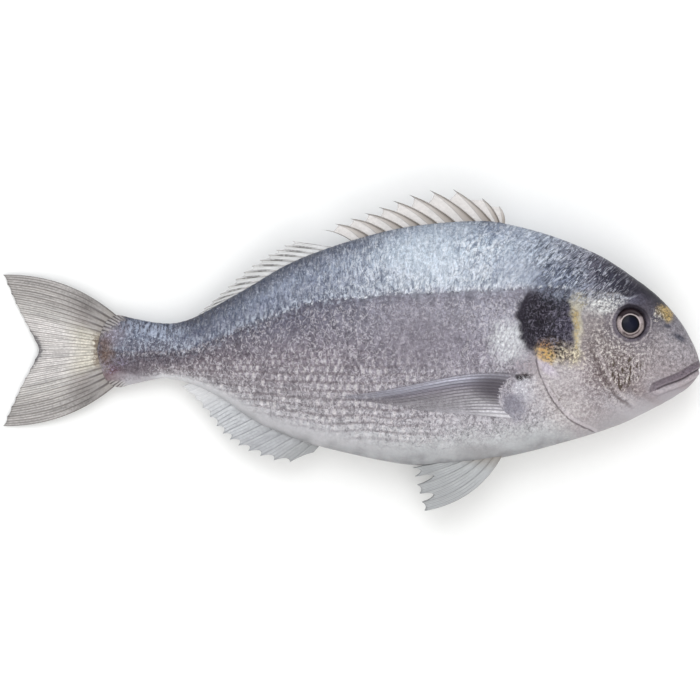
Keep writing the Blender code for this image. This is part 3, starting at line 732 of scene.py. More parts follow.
# Soft patches on the skin, in painting order: the photo's pixel at the middle, radii in per
# cent, turn in degrees, softness, strength, colour and how it is broken up
PATCHES = {
    "nape and shoulder": (
        ((448, 229), (4.2, 1.6), -5, 0.6, 0.5, "b6c1cf", "whole"),
        # A painted highlight over the scales' own silvery blue on the upper flank
        ((425, 257), (5.4, 3.2), -12, 0.7, 0.5, "d3dfec", "whole"),
        ((512, 272), (3.0, 2.2), 0, 0.6, 0.45, "a0a8b9", "whole"),
        ((420, 336), (5.6, 4.6), 0, 0.7, 0.5, "7b757f", "whole"),
        ((478, 451), (3.4, 1.2), -4, 0.6, 0.55, "959395", "whole"),
        ((548, 254), (6.6, 4.4), -28, 0.6, 0.6, "b1bacb", "whole"),
        ((587, 266), (5.0, 3.4), -35, 0.6, 0.85, "a1a3b1", "whole"),
        ((552, 282), (3.0, 2.4), -10, 0.4, 0.8, "4d5163", "whole"),
        ((568, 276), (2.6, 2.0), -30, 0.5, 0.5, "565a6b", "whole"),
        ((545, 291), (1.9, 1.5), 0, 0.5, 0.55, "484a5b", "whole"),
        ((552, 282), (3.0, 2.4), -10, 0.5, 0.35, "939cb1", "speckled"),
        ((560, 283), (4.8, 2.2), -14, 0.5, 0.6, "9aa3b8", "streaked"),
        ((572, 268), (7.0, 4.0), -30, 0.5, 0.55, "3d4152", "worn"),
        ((572, 268), (7.0, 4.0), -30, 0.5, 0.7, "2c3040", "furrowed"),
        ((572, 268), (7.0, 4.0), -30, 0.5, 0.65, "d5dbe6", "wrinkled"),
        ((508, 341), (2.4, 2.5), 14, 0.6, 0.55, "cfd1d6", "whole"),
        ((504, 341), (2.2, 2.9), 14, 0.4, 0.7, "e9ebee", "streaked"),
        ((504, 343), (2.2, 2.9), 14, 0.4, 0.4, "8e8a94", "pitted"),
        ((497, 363), (1.9, 1.3), 32, 0.6, 0.45, "d2d2d8", "gritty"),
        ((522, 388), (1.5, 1.9), 8, 0.4, 0.75, "c6c4cd", "whole"),
        ((522, 386), (1.4, 1.7), 8, 0.4, 0.7, "ebeaf0", "gritty"),
        # Painted shade under the breast fin's fleshy root
        ((512, 405), (1.7, 2.0), 10, 0.5, 0.7, "7d7b89", "whole"),
        ((524, 366), (2.0, 1.3), 0, 0.6, 0.45, "94868a", "speckled"),
        ((520, 358), (1.6, 1.8), 0, 0.6, 0.4, "857b80", "gritty"),
    ),
    "tail root": (
        ((104, 351), (1.2, 2.2), 0, 0.8, 0.7, "705a4d", "whole"),
        ((104, 351), (1.4, 2.6), 0, 0.7, 0.6, "564239", "pitted"),
        ((104, 351), (1.3, 2.4), 0, 0.7, 0.5, "9b8576", "gritty"),
        ((113, 331), (1.8, 1.6), 20, 0.6, 0.5, "9d959f", "whole"),
        ((112, 331), (1.9, 1.8), 20, 0.6, 0.7, "b1aabb", "gritty"),
        ((150, 359), (4.6, 1.1), 2, 0.7, 0.5, "5b525b", "whole"),
        ((150, 359), (4.6, 1.3), 2, 0.7, 0.5, "40373f", "pitted"),
        ((150, 352), (4.6, 1.6), 2, 0.7, 0.4, "aaa3ab", "gritty"),
        ((113, 365), (2.1, 1.1), 20, 0.5, 0.75, "9d95ad", "gritty"),
        ((110, 376), (2.0, 1.1), 22, 0.4, 0.92, "65383f", "whole"),
        ((117, 321), (1.5, 1.0), -20, 0.6, 0.7, "35333f", "whole"),
        ((130, 369), (3.0, 1.2), -14, 0.6, 0.6, "5f575f", "whole"),
        ((133, 380), (3.8, 0.9), -8, 0.5, 0.7, "aaa5ab", "whole"),
        # A painted highlight and painted glints on the peduncle's upper half
        ((152, 330), (4.4, 1.3), -7, 0.7, 0.75, "b5bfd4", "streaked"),
        ((152, 340), (4.4, 1.0), -4, 0.7, 0.7, "c3cbd9", "gritty"),
        ((150, 346), (4.4, 0.7), -2, 0.6, 0.5, "5d5965", "worn"),
    ),
    "top of the head": (
        ((610, 275), (4.6, 3.4), -30, 0.5, 0.8, "676370", "whole"),
        ((640, 292), (6.0, 2.7), -30, 0.45, 0.95, "forehead", "whole"),
        ((653, 303), (3.2, 2.1), -42, 0.4, 0.95, "1d1b24", "whole"),
        ((630, 293), (1.9, 1.1), -32, 0.5, 0.85, "1d1a24", "whole"),
        ((617, 262), (3.2, 0.5), -33, 0.6, 0.5, "8b8b95", "whole"),
        ((625, 281), (4.6, 2.0), -32, 0.5, 0.6, "3b3844", "whole"),
        ((608, 276), (6.0, 3.4), -32, 0.5, 0.6, "2a2733", "furrowed"),
        ((600, 271), (4.6, 3.2), -32, 0.5, 0.4, "a5a3ae", "wrinkled"),
        ((579, 269), (0.95, 1.0), 0, 0.3, 0.55, "aab0bd", "whole"),
        ((579, 269), (0.45, 0.45), 0, 0.4, 0.5, "6d7180", "whole"),
        ((597, 296), (3.6, 0.7), 4, 0.5, 0.5, "8f8878", "gritty"),
    ),
    "gill cover, cheek and temple": (
        ((560, 384), (4.2, 5.6), 24, 0.6, 0.7, "c2bcbe", "whole"),
        ((579, 404), (4.0, 3.4), 30, 0.6, 0.6, "aca4a6", "whole"),
        ((580, 362), (1.4, 3.0), 12, 0.6, 0.6, "b5aaae", "whole"),
        ((588, 307), (1.4, 3.4), 0, 0.7, 0.55, "a39c9b", "speckled"),
        # A pale patch with white specks: a painted highlight behind the eye
        ((603, 305), (3.0, 1.4), 8, 0.5, 0.4, "c4c4c4", "whole"),
        ((603, 305), (2.8, 1.2), 8, 0.5, 0.85, "f0f0ee", "speckled"),
        ((599, 354), (2.8, 5.0), 24, 0.6, 0.55, "807776", "whole"),
        ((610, 362), (4.0, 4.8), 26, 0.5, 0.75, "594c40", "pitted"),
        ((612, 360), (4.6, 5.2), 24, 0.5, 0.78, "e4ddd6", "gritty"),
        ((622, 373), (2.8, 2.6), 10, 0.4, 0.95, "4a3f35", "combed"),
        ((600, 334), (2.8, 4.6), 8, 0.6, 0.35, "d0cac6", "gritty"),
        ((600, 334), (2.8, 4.6), 8, 0.6, 0.3, "70666a", "pitted"),
        ((563, 392), (5.0, 6.4), 24, 0.5, 0.4, "e2dcdd", "gritty"),
        ((563, 392), (5.0, 6.4), 24, 0.5, 0.3, "867b80", "pitted"),
        ((584, 402), (3.4, 3.6), 24, 0.5, 0.35, "8d7d82", "scored"),
        ((554, 402), (1.1, 1.7), 26, 0.5, 0.6, "756b62", "pitted"),
        ((566, 412), (2.4, 1.4), 24, 0.6, 0.45, "d3cecf", "whole"),
        ((544, 367), (1.7, 0.6), -40, 0.5, 0.7, "c9bfd0", "whole"),
        ((604, 384), (2.7, 3.2), 28, 0.6, 0.65, "7e7175", "whole"),
        ((604, 386), (2.6, 3.4), 28, 0.6, 0.4, "6b5d60", "pitted"),
        ((622, 391), (4.2, 2.0), -14, 0.6, 0.65, "7f7275", "whole"),
        ((632, 408), (6.8, 1.7), -20, 0.5, 0.7, "bab6bb", "whole"),
    ),
    "snout and jaws": (
        ((655, 347), (3.6, 3.4), -30, 0.6, 0.5, "a19b9f", "whole"),
        ((655, 350), (4.4, 3.6), -30, 0.6, 0.32, "5f564f", "pitted"),
        ((655, 350), (4.4, 3.6), -30, 0.6, 0.28, "d2cccb", "gritty"),
        ((681, 345), (2.6, 3.4), 22, 0.6, 0.6, "a9a4aa", "whole"),
        ((672, 324), (3.4, 1.9), -40, 0.6, 0.6, "77757f", "whole"),
        ((676, 398), (4.4, 1.5), -28, 0.5, 0.6, "aea9b0", "whole"),
    ),
    "round the eye": (
        ((627, 323), (4.0, 3.7), 0, 0.3, 0.6, "6c656f", "whole"),
        ((646, 318), (2.0, 2.4), -14, 0.6, 0.55, "5c5862", "whole"),
        ((622, 301), (2.6, 0.8), 4, 0.5, 0.6, "6b6a7c", "whole"),
        ((614, 297.5), (2.6, 0.24), 3, 0.6, 0.8, "cfd2dc", "speckled"),
        ((664, 313), (1.3, 0.9), -42, 0.5, 0.85, "gold_band", "whole"),
        ((664, 311), (1.3, 0.8), -42, 0.6, 0.75, "dfb866", "gritty"),
        ((663, 312), (1.4, 0.9), -42, 0.5, 0.6, "4c3c28", "pitted"),
        ((656, 316), (0.9, 0.8), -42, 0.6, 0.75, "ebe6da", "gritty"),
        ((646, 345), (2.6, 0.6), 18, 0.6, 0.5, "6e6870", "speckled"),
    ),
    "dark blotch, then the gold round it": (
        ((530.5, 322), (2.3, 4.3), 4, 0.16, 0.98, "blotch", "whole"),
        ((549, 316), (2.7, 3.8), -8, 0.2, 0.98, "blotch", "whole"),
        ((562, 327), (1.6, 3.3), -4, 0.2, 0.96, "322d3c", "whole"),
        ((557, 300), (2.1, 1.6), -20, 0.5, 0.95, "25252f", "whole"),
        ((546, 320), (3.4, 4.1), 0, 0.3, 0.45, "878292", "lined"),
        ((560, 324), (2.0, 3.4), 0, 0.3, 0.25, "6d6a7d", "speckled"),
        ((546, 319), (3.4, 4.1), 0, 0.3, 0.12, "aca7b8", "gritty"),
        ((546, 319), (3.6, 4.3), 0, 0.3, 0.8, "08060d", "scored"),
        ((546, 319), (3.6, 4.3), 0, 0.3, 0.6, "120e18", "pitted"),
        ((556, 334), (2.2, 2.4), 30, 0.5, 0.5, "8b8797", "lined"),
        ((547, 350), (1.7, 1.5), 16, 0.4, 0.7, "gold_patch", "whole"),
        ((544, 351), (1.1, 1.5), 16, 0.4, 0.75, "c88c3e", "gritty"),
        ((552, 345), (1.2, 1.5), 10, 0.3, 0.95, "1f181f", "speckled"),
        ((543, 356), (1.4, 0.8), -36, 0.5, 0.75, "d8ba74", "speckled"),
        ((563, 354), (2.2, 1.3), -10, 0.5, 0.7, "948671", "whole"),
        ((566, 357), (2.2, 1.4), -12, 0.5, 0.85, "f0e6c8", "gritty"),
        ((556, 351), (2.8, 1.6), -6, 0.4, 0.97, "191418", "pitted"),
        ((574, 328), (0.7, 4.2), 3, 0.5, 0.8, "cec7b2", "whole"),
        ((573, 330), (0.4, 3.4), 3, 0.5, 0.7, "b59a55", "speckled"),
        ((576, 300), (1.3, 1.2), 20, 0.5, 0.75, "d8d3c0", "speckled"),
        ((579, 301), (0.8, 1.0), 20, 0.6, 0.7, "8d7f4c", "pitted"),
        ((520.5, 375.8), (1.35, 0.5), 4, 0.3, 0.97, "121015", "whole"),
    ),
}


def from_photo(x, y):
    """A place in per cent from a pixel of the photo."""
    return 100 * x / PHOTO_WIDTH, 100 * (PHOTO_MIDDLE - y) / PHOTO_WIDTH


def patch_layers(along, up):
    """The patches of each kind laid over each other: a colour and its cover per point."""
    places = np.stack([along, up], axis=-1).reshape(-1, 2)
    noise.seed_set(WANDER_SEED)
    wander = np.array([noise.noise_vector(Vector((*p, 0)) * WANDER_GRAIN) for p in places])
    wander = wander.reshape(*along.shape, 3) * WANDER
    along, up = along + wander[..., 0], up + wander[..., 1]
    layers = {}
    for centre, radii, turn, soft, strength, tint, kind in chain(*PATCHES.values()):
        away = ellipse(along, up, from_photo(*centre), radii, turn)
        cover = strength * (1 - step_between(1 - soft, 1 + soft, away))[..., None]
        layer = layers.get(kind, np.zeros((*along.shape, 4)))
        layers[kind] = layer * (1 - cover) + np.array(hexed(tint)) * cover
    for layer in layers.values():
        layer[..., :3] /= np.maximum(layer[..., 3:], 1e-6)
    return layers


class Skin(Surface):
    """The fish's skin: its marks are laid over each other, from the pigment outwards."""

    def __init__(self):
        super().__init__(
            "fish_skin_wet_scales", roughness=0.36, coat=0.04, coat_roughness=0.18,
            coat_ior=1.34, specular=0.12, subsurface=0.05, subsurface_scale=0.0012,
            subsurface_radius=(1.0, 0.5, 0.4))
        scale = 100 / sizes().total_length
        self.place = self.mapped(self.coordinates(), (50, 0, 0), scale=(scale, scale, scale))
        self.along, self.up = self.parts(self.place)
        self.level, self.head = self.attribute("level"), self.attribute("head")
        self.body = self.between(self.head, 0.0, 6.0)
        # On the rear half the blue-grey of the back reaches a little below the side line
        self.drop = self.between(self.along, 50.0, 36.0)
        self.side = self.plus(self.attribute("side_line"), self.times(self.drop, 2.2))

    def noises(self):
        """Noise of several grains: speckle, leaning streaks, thin wandering lines, clouds."""
        place, noise_at, mapped, lines = self.place, self.noise, self.mapped, self.lines
        self.speckle = noise_at(place, 0.42, 4.0, 0.74)
        self.grit = noise_at(mapped(place, (3, 9, 1)), 0.40, 5.0, 0.84)
        lean = self.times(
            self.between(self.along, 58.0, 90.0, 0.02, 1.0), self.minus(self.up, 8.0))
        leaned = self.add("ShaderNodeCombineXYZ", {
            0: self.minus(self.along, lean), 1: self.times(self.up, 0.42), 2: 0.0})
        self.streak = noise_at(leaned, 0.44, 3.5, 0.64)
        self.stripes = noise_at(
            mapped(leaned, (2, 5, 0), scale=(1.0, 0.42, 1.0)), 0.55, 3.0, 0.6)
        self.hairs = lines(leaned, 0.7, 0.05)
        self.dark_hairs = lines(mapped(leaned, (4, 8, 3)), 0.75, 0.05)
        self.comb = noise_at(mapped(place, scale=(1.0, 0.3, 1.0)), 0.34, 2.0, 0.5)
        self.squiggles = lines(mapped(place, scale=(1.0, 0.7, 1.0)), 0.7, 0.045)
        self.dark_squiggles = lines(mapped(place, (7, 3, 2), scale=(1.0, 0.8, 1.0)), 0.75, 0.05)
        self.cloud = noise_at(place, 2.6, 3.0, 0.5)
        self.patchy = noise_at(place, 1.1, 2.0, 0.5)

    def tones(self):
        """The body's colours with their painted highlight and shade, uneven in broad patches, and
        the head's.
        """
        between = self.between
        uneven = self.plus(self.level, self.sway(self.cloud, 0.16))
        uneven = self.minus(
            uneven, self.times(self.drop, between(self.level, 1.3, 1.0), 0.06))
        rear, middle, front = (
            self.ramp(uneven, tones, 2.0) for tones in (REAR_TONES, MIDDLE_TONES, FRONT_TONES))
        body = self.blend(between(self.along, 27.0, 41.0), rear, middle)
        body = self.blend(between(self.along, 44.0, 61.0), body, front)
        head = self.ramp(between(self.up, -14.0, 14.0, kind="LINEAR"), HEAD_TONES)
        self.colour = self.blend(self.body, head, body)

    def scales(self):
        """A tone for each scale, with painted light: a highlight on each free edge above the side
        line with painted shade just behind it, and pale lit middles below.
        """
        times, between, paint = self.times, self.between, self.paint
        along, level, patchy, speckle = self.along, self.level, self.patchy, self.speckle
        self.scale_t = self.attribute("scale_t")
        self.scale_s = self.attribute("scale_s")
        self.rise, number, across = scale_nodes(self, self.scale_s, self.scale_t)
        smooth_belly = between(self.plus(level, times(patchy, 0.12)), 2.0, 1.86)
        pattern = times(self.body, smooth_belly, between(along, 14.5, 18.0))
        ragged = self.plus(self.sway(patchy, 6.0), self.sway(
            speckle, between(along, 66.0, 50.0, 3.0, 9.0)))
        upper = times(between(self.plus(self.side, ragged), -1.0, 1.5), pattern)
        silver = times(upper, between(along, 36.0, 62.0, 0.2, 1.0), between(
            level, 0.04, 0.4, 0.5, 1.0))
        lower = times(between(level, 1.22, 1.5), pattern, between(
            along, 68.0, 55.0, 0.15, 1.0), between(along, 22.0, 36.0, 0.3, 1.0))
        self.pattern, self.upper, self.silver = pattern, upper, silver

        self.lighten(self.plus(1.0, times(self.sway(number, pattern), 0.4)))
        # Painted highlight on each scale's free edge above the side line and on its pale middle
        # below; the dark tint after it is painted shade just behind the free edge
        lit = times(between(self.rise, 0.05, 0.22), between(self.rise, 0.62, 0.4))
        loose = between(patchy, 0.36, 0.6)
        paint("e8eef8", lit, silver, loose, 0.35)
        paint("4b5468", between(self.rise, 0.12, 0.0), upper, loose, 0.32)
        paint("dedadb", lit, between(across, 0.30, 0.12), lower,
              between(number, 0.1, 0.8, 0.15, 1.0), 0.62)
        row = self.sawtooth(times(self.scale_t, 2.0))
        paint("6b6064", between(row, 0.22, 0.42), lower,
              between(speckle, 0.3, 0.5, 0.4, 1.0), 0.5)

    def glints(self):
        """Painted glints between the scales, light streaks above and thin light lines below, with
        dark streaks and lines among them.
        """
        between, paint, grit, speckle = self.between, self.paint, self.grit, self.speckle
        upper, silver = self.upper, self.silver
        striped = self.times(between(self.along, 50.0, 62.0), upper)
        paint("eef3fb", between(self.stripes, 0.52, 0.64), striped, 0.6)
        paint("7c879b", between(self.stripes, 0.47, 0.36), striped, 0.45)
        paint("f1f5fc", between(self.streak, 0.51, 0.66), silver, 0.62)
        paint("475066", between(self.streak, 0.48, 0.33), upper, 0.62)
        paint("f6f9ff", self.hairs, silver, 0.5)
        paint("4a5166", self.dark_hairs, upper, 0.5)
        paint("d5dbe8", between(grit, 0.56, 0.68), upper, 0.5)
        paint("3f4456", between(grit, 0.44, 0.32), upper, 0.4)
        rear = self.times(self.band(self.side, 1.0, 6.0, 1.0), self.body,
                          between(self.along, 60.0, 48.0))
        paint("474b5c", rear, between(grit, 0.49, 0.42), 0.5)
        paint("cdd5e4", rear, between(self.streak, 0.5, 0.6), 0.5)
        below = self.times(between(self.level, 0.98, 1.08), self.pattern)
        paint("dcd8de", below, self.squiggles, 0.5)
        paint("4c454e", below, self.dark_squiggles, 0.45)
        paint("d6d2d8", below, between(speckle, 0.56, 0.72), 0.45)
        paint("4f4850", below, between(speckle, 0.46, 0.3), 0.45)

    def patches(self):
        """The soft patches, each kind broken up in its own way."""
        between = self.between
        for kind, breaks in (
            ("whole", 1.0),
            ("speckled", between(self.speckle, 0.40, 0.56)),
            ("worn", between(self.streak, 0.58, 0.44)),
            ("streaked", between(self.streak, 0.42, 0.58)),
            ("lined", self.squiggles),
            ("wrinkled", self.hairs),
            ("scored", self.dark_squiggles),
            ("furrowed", self.dark_hairs),
            ("gritty", between(self.grit, 0.51, 0.60)),
            ("pitted", between(self.grit, 0.50, 0.40)),
            ("combed", between(self.comb, 0.52, 0.62)),
        ):
            tint, cover = self.coloured(f"patches_{kind}")
            self.paint(tint, cover, breaks)

    def side_line(self):
        """The side line: short ragged dark marks with a pale pore at each."""
        times, between, band = self.times, self.between, self.band
        along, patchy, speckle = self.along, self.patchy, self.speckle
        dash = between(self.calc("FRACT", self.plus(self.scale_s, times(
            self.plus(patchy, speckle), 1.3))), 0.15, 0.55)
        near_line = self.plus(self.side, self.sway(speckle, 5.0))
        near_line = self.plus(near_line, self.sway(patchy, 2.4))
        on_line = times(self.body, between(along, 13.7, 18.0))
        self.paint("3b3843", band(near_line, 0.0, 0.75, 0.25), on_line, dash,
                   between(self.grit, 0.42, 0.54, 0.15, 1.0),
                   between(patchy, 0.38, 0.58, 0.3, 0.8))
        self.paint("eceef3", band(near_line, 0.6, 0.6, 0.2), on_line, self.minus(1.0, dash),
                   between(self.grit, 0.44, 0.56), between(along, 22.0, 50.0, 0.25, 0.8))
        self.paint("544f5b", between(self.side, -5.0, -0.5), between(self.side, 0.3, -0.6),
                   self.body, between(speckle, 0.62, 0.42), between(along, 14.0, 20.0), 0.35)

    def tail_rays(self):
        """The tail's rays run on over the skin's end, above and below its brown root."""
        between, up = self.between, self.up
        fan = self.times(self.calc("DIVIDE", up, self.minus(FAN_CENTRE, self.along)), FAN_RAYS)
        ray = between(self.sawtooth(self.plus(fan, self.times(self.patchy, 0.5))), 0.3, 0.12)
        aside = self.plus(self.calc("ABSOLUTE", up), self.sway(self.speckle, 4.0))
        end = self.minus(self.along, self.times(between(aside, 1.6, 5.0), 3.4))
        red_root = self.band(up, -3.5, 1.2, 0.6)
        rayed = self.times(between(end, 15.0, 13.4), between(aside, 1.4, 2.8),
                           self.minus(1.0, self.times(red_root, 0.9)))
        self.paint("b4afad", rayed, 0.85)
        self.paint("4f494d", rayed, ray, 0.85)

    def head_lines(self):
        """The gill cover's pale flap and a dark line of painted shade along its edge, and the
        cheek's edge: painted shade in its groove and a painted highlight beside it.
        """
        between, band, up = self.between, self.band, self.up
        gill = self.plus(self.attribute("gill"), self.sway(self.patchy, 0.9))
        low_part = between(up, -0.6, -1.6)
        self.paint("cdc4ca", band(gill, 1.1, 1.0, 0.3), low_part, 0.5)
        # Painted shade along the gill cover's edge, where it overlaps the body
        self.paint("5b5257", band(gill, 0.0, 0.5, 0.15), low_part,
                   between(self.patchy, 0.3, 0.5, 0.5, 1.0), 0.7)
        cheek = self.plus(self.attribute("cheek"), self.sway(self.patchy, 1.6))
        # Painted shade in the groove along the cheek's edge
        self.paint("5c5051", band(cheek, 0.8, 1.1, 0.2), between(up, 2.4, -0.4),
                   between(self.speckle, 0.3, 0.55, 0.4, 1.0), between(up, -9.0, -7.0), 0.72)
        # A painted highlight on the rise beside the cheek's groove
        self.paint("c6bdbf", band(cheek, 3.0, 1.2, 0.3), between(up, 1.0, -1.0),
                   between(up, -9.0, -7.0), 0.4)

    def lips(self):
        """The upper lip with a painted highlight along it and painted shade in the furrow over it,
        the jaw's pale lip, and painted shade in the slit between.
        """
        between, band = self.between, self.band
        mouth, part = self.attribute("mouth"), between(self.along, 91.0, 93.6)
        above = self.minus(mouth, between(self.along, 93.0, 98.5, 3.2, 3.4))
        self.paint("lip", between(above, 0.5, -0.3), between(mouth, -0.2, 0.2), part, 0.9)
        # Painted shade in the furrow over the upper lip
        self.paint("5b5159", band(above, 0.0, 0.6, 0.15), part, 0.55)
        # A painted highlight along the upper lip
        self.paint("a79ca5", band(mouth, 1.1, 0.6, 0.1), part, 0.3)
        self.paint("c2b8bd", between(mouth, -2.6, -1.6), between(mouth, 0.0, -0.5), part, 0.5)
        self.paint("80767d", band(mouth, -2.7, 0.6, 0.1), part, 0.4)
        # Painted shade in the slit between the lips
        self.paint("4d434a", band(mouth, 0.0, 0.55, 0.2), part, 0.75)

    def eye_ring(self):
        """Skin round the eye: black above, mauve elsewhere, with a pale outline; painted shade in
        the nostrils.
        """
        between = self.between
        place = self.add("ShaderNodeCombineXYZ", {0: self.along, 1: self.up})
        away = self.add("ShaderNodeVectorMath", {0: place, 1: (*ORBIT_PLACE, 0.0)},
                        output="Value", operation="DISTANCE")
        away = self.plus(self.times(away, sizes().total_length / 100 / MM),
                         self.sway(self.patchy, 0.8))
        lid = between(self.plus(self.up, self.times(self.along, 0.25)), ORBIT_LID, ORBIT_LID + 1.6)
        self.paint("c0b9bc", self.band(away, 8.7, 0.6, 0.15), self.minus(1.0, lid),
                   between(self.speckle, 0.3, 0.5, 0.5, 1.0), 0.45)
        orbit = between(away, 8.6, 7.7)
        self.paint("625b66", orbit, 0.85)
        self.paint("231f28", orbit, lid, 0.92)
        self.paint("352e36", between(away, 6.9, 6.5), 0.7)
        # Painted shade in the nostrils
        for nostril in NOSTRILS:
            self.paint("4a4b57", self.spot(self.place, *nostril, 0.5), 0.8)

    def grain(self):
        """Grain over everything, weaker on the smooth belly, and the film's unevenness."""
        rough_part = self.between(self.level, 1.97, 1.8, 0.2, 1.0)
        high_part = self.plus(self.side, self.times(self.head, -0.6))
        rough_part = self.times(rough_part, self.between(high_part, -6.0, 2.0, 1.15, 2.0))
        grain = self.minus(self.plus(self.speckle, self.grit), 1.0)
        self.lighten(self.plus(1.0, self.times(grain, rough_part)))
        raised = self.bump(
            self.times(self.minus(1.0, self.rise), self.pattern), 0.12 * MM, 0.7)
        raised = self.bump(
            self.plus(self.speckle, self.times(self.streak, self.upper)), 0.2 * MM, 0.8, raised)
        self.set(base_color=self.colour, normal=raised,
                 roughness=self.plus(0.28, self.times(self.speckle, 0.3)))


def skin_material():
    """Wet scaled skin: pigment in the deep layer, silvery scales with painted glints, highlight
    and shade, a thin film on top.
    """
    skin = Skin()
    for layer in (
        skin.noises, skin.tones, skin.scales, skin.glints, skin.patches, skin.side_line,
        skin.tail_rays, skin.head_lines, skin.lips, skin.eye_ring, skin.grain,
    ):
        layer()
    return skin.material


def fin_material(name, membrane, ray_colour, clear, branches, marks,
                 streaks=0.36, streak_grain=(2.6, 3.2)):
    """Thin fin: a see-through membrane over rays that split towards their ends."""
    m = Surface(name, roughness=0.42, coat=0.08, coat_roughness=0.2, specular=0.3)
    uv, coords = m.coordinates("rays"), m.coordinates()
    across, out = m.parts(uv)
    fine = m.noise(coords, 1.1 * MM, 3.0, 0.6)
    wavy = m.plus(across, m.sway(m.noise(coords, 9.0 * MM, 2.0, 0.5), 0.1))
    # Rays are single at the root, then split into more
    ray = 0.0
    for count, start, end, wide in branches:
        line = m.between(m.sawtooth(m.times(wavy, count)), wide, wide * 0.25)
        ray = m.calc("MAXIMUM", ray, m.times(line, m.between(out, start, end)))
    worn = m.between(fine, 0.3, 0.55, 0.45, 1.0)
    m.colour = m.blend(m.times(ray, 0.85, worn), membrane, ray_colour)
    # Fine streaks run along the rays
    run = m.noise(m.mapped(uv, scale=(*streak_grain, 1.0)), 1.0, 3.0, 0.65)
    m.lighten(m.plus(1 - streaks, m.times(m.plus(fine, run), streaks)))
    alpha = marks(m, m.plus(clear, m.times(ray, 0.95 - clear)), across, out, fine)
    m.set(base_color=m.colour, alpha=m.calc("MINIMUM", alpha, 1.0),
          normal=m.bump(ray, 0.2 * MM, 0.6))
    return m.material


def spine_marks(m, alpha, across, out, fine):
    """Spines are broad wedges at their roots, brown-grey with dark outlines."""
    between, times = m.between, m.times
    t = m.minus(m.calc("FRACT", m.plus(across, 0.5)), 0.5)
    # A spine lies behind its line in the count, wide at its root and narrow at its tip
    inside = m.minus(t, times(m.minus(1.02, out), 0.5))
    body = times(between(t, -0.06, -0.02), between(inside, 0.06, -0.08))
    m.paint("c3bbb4", body, 0.75)
    m.paint("94887c", between(out, 0.6, 0.05), body, between(t, 0.4, 0.02, 0.6, 1.0),
            between(across, 6.0, 9.0, 0.65, 0.35))
    lines = m.calc("MAXIMUM", m.band(t, -0.005, 0.05, 0.012),
                   times(m.band(inside, 0.0, 0.035, 0.01), 0.35))
    m.paint("5b5450", lines, between(fine, 0.25, 0.5, 0.5, 1.0), 0.8)
    return m.calc("MAXIMUM", alpha, m.calc("MAXIMUM", body, lines))


def soft_marks(m, alpha, across, out, fine):
    """The soft back fin has dark smudges half way up its rays."""
    t = m.calc("FRACT", m.plus(across, 0.62))
    m.paint("4a4644", m.between(out, 0.12, 0.38), m.between(out, 0.95, 0.6),
            m.band(t, 0.5, 0.34, 0.1), m.between(fine, 0.35, 0.55, 0.5, 1.0), 0.8)
    return alpha


def anal_marks(m, alpha, across, out, fine):
    """The anal fin's front spines are olive and dull, and its rear is pale."""
    m.paint("8d8f86", m.between(across, 3.2, 1.0), 0.45)
    m.paint("a2a3a8", m.between(across, 7.5, 4.5, 0.0, 0.4))
    m.paint("f2f2f4", m.between(across, 8.5, 11.5, 0.0, 0.8))
    return alpha


def tail_marks(m, alpha, across, out, fine):
    """The tail: cream middle, smoky lobes, dark rear margin and a reddish root."""
    between = m.between
    half = m.off(m.calc("DIVIDE", across, TAIL_BANDS / 2), 1.0)
    uneven = m.plus(half, m.sway(fine, 0.2))
    m.shade_by(m.blend(between(out, 0.26, 0.6), m.ramp(uneven, TAIL_NEAR),
                       m.ramp(uneven, TAIL_FAR)), TAIL_PATTERN)
    # The margin is darkest and broadest where the tail forks
    reach = m.plus(out, m.times(between(half, 0.4, 0.1), 0.08))
    m.paint("4b484f", between(m.plus(reach, m.sway(fine, 0.3)), 0.97, 1.07),
            between(half, 0.1, 0.5, 1.0, 0.6), 0.8)
    m.paint("7c7875", between(half, 0.985, 1.0), 0.5)
    # Beside the skin the lobes' rays are dark on pale
    near_skin = m.times(between(out, 0.3, 0.1), between(half, 0.35, 0.6))
    m.paint("c2bebb", near_skin, 0.6)
    m.paint("4f494d", near_skin, between(m.sawtooth(across), 0.24, 0.08), 0.75)
    m.paint("786452", between(m.plus(out, m.times(fine, 0.2)), 0.29, 0.19),
            between(half, 0.6, 0.25, 0.2, 1.0), 0.8)
    return alpha


def breast_marks(m, alpha, across, out, fine):
    """The breast fin: dark front rays, and lower rays that the flank shows through."""
    between, times = m.between, m.times
    uneven = m.plus(across, m.sway(fine, 1.6))
    m.shade_by(m.ramp(uneven, BREAST_TONES, BREAST_BANDS), BREAST_PATTERN)
    m.paint("47414e", between(out, 0.32, 0.1), between(across, 9.5, 6.0),
            between(across, 0.6, 2.0), 0.88)
    m.paint("6a646b", between(out, 0.36, 0.06), between(across, 13.0, 9.5), 0.55)
    m.paint("dcdade", between(across, 12.6, 13.5), between(out, 0.7, 0.3), 0.6)
    # Away from its root the fin is thin: only its front streak hides the flank
    thin = 0.0
    for share in (
        times(between(uneven, 3.5, 8.0), between(out, 0.12, 0.5), 0.5),
        times(between(across, 0.9, 0.0), between(out, 0.0, 0.2), 0.7),
        times(between(out, 0.6, 1.0), 0.6),
    ):
        thin = m.calc("MAXIMUM", thin, share)
    return times(alpha, m.minus(1.0, thin))


def pelvic_marks(m, alpha, across, out, fine):
    """The belly fin has a faint orange-brown root."""
    m.paint("8f7f6c", m.between(out, 0.26, 0.02), 0.5)
    return alpha


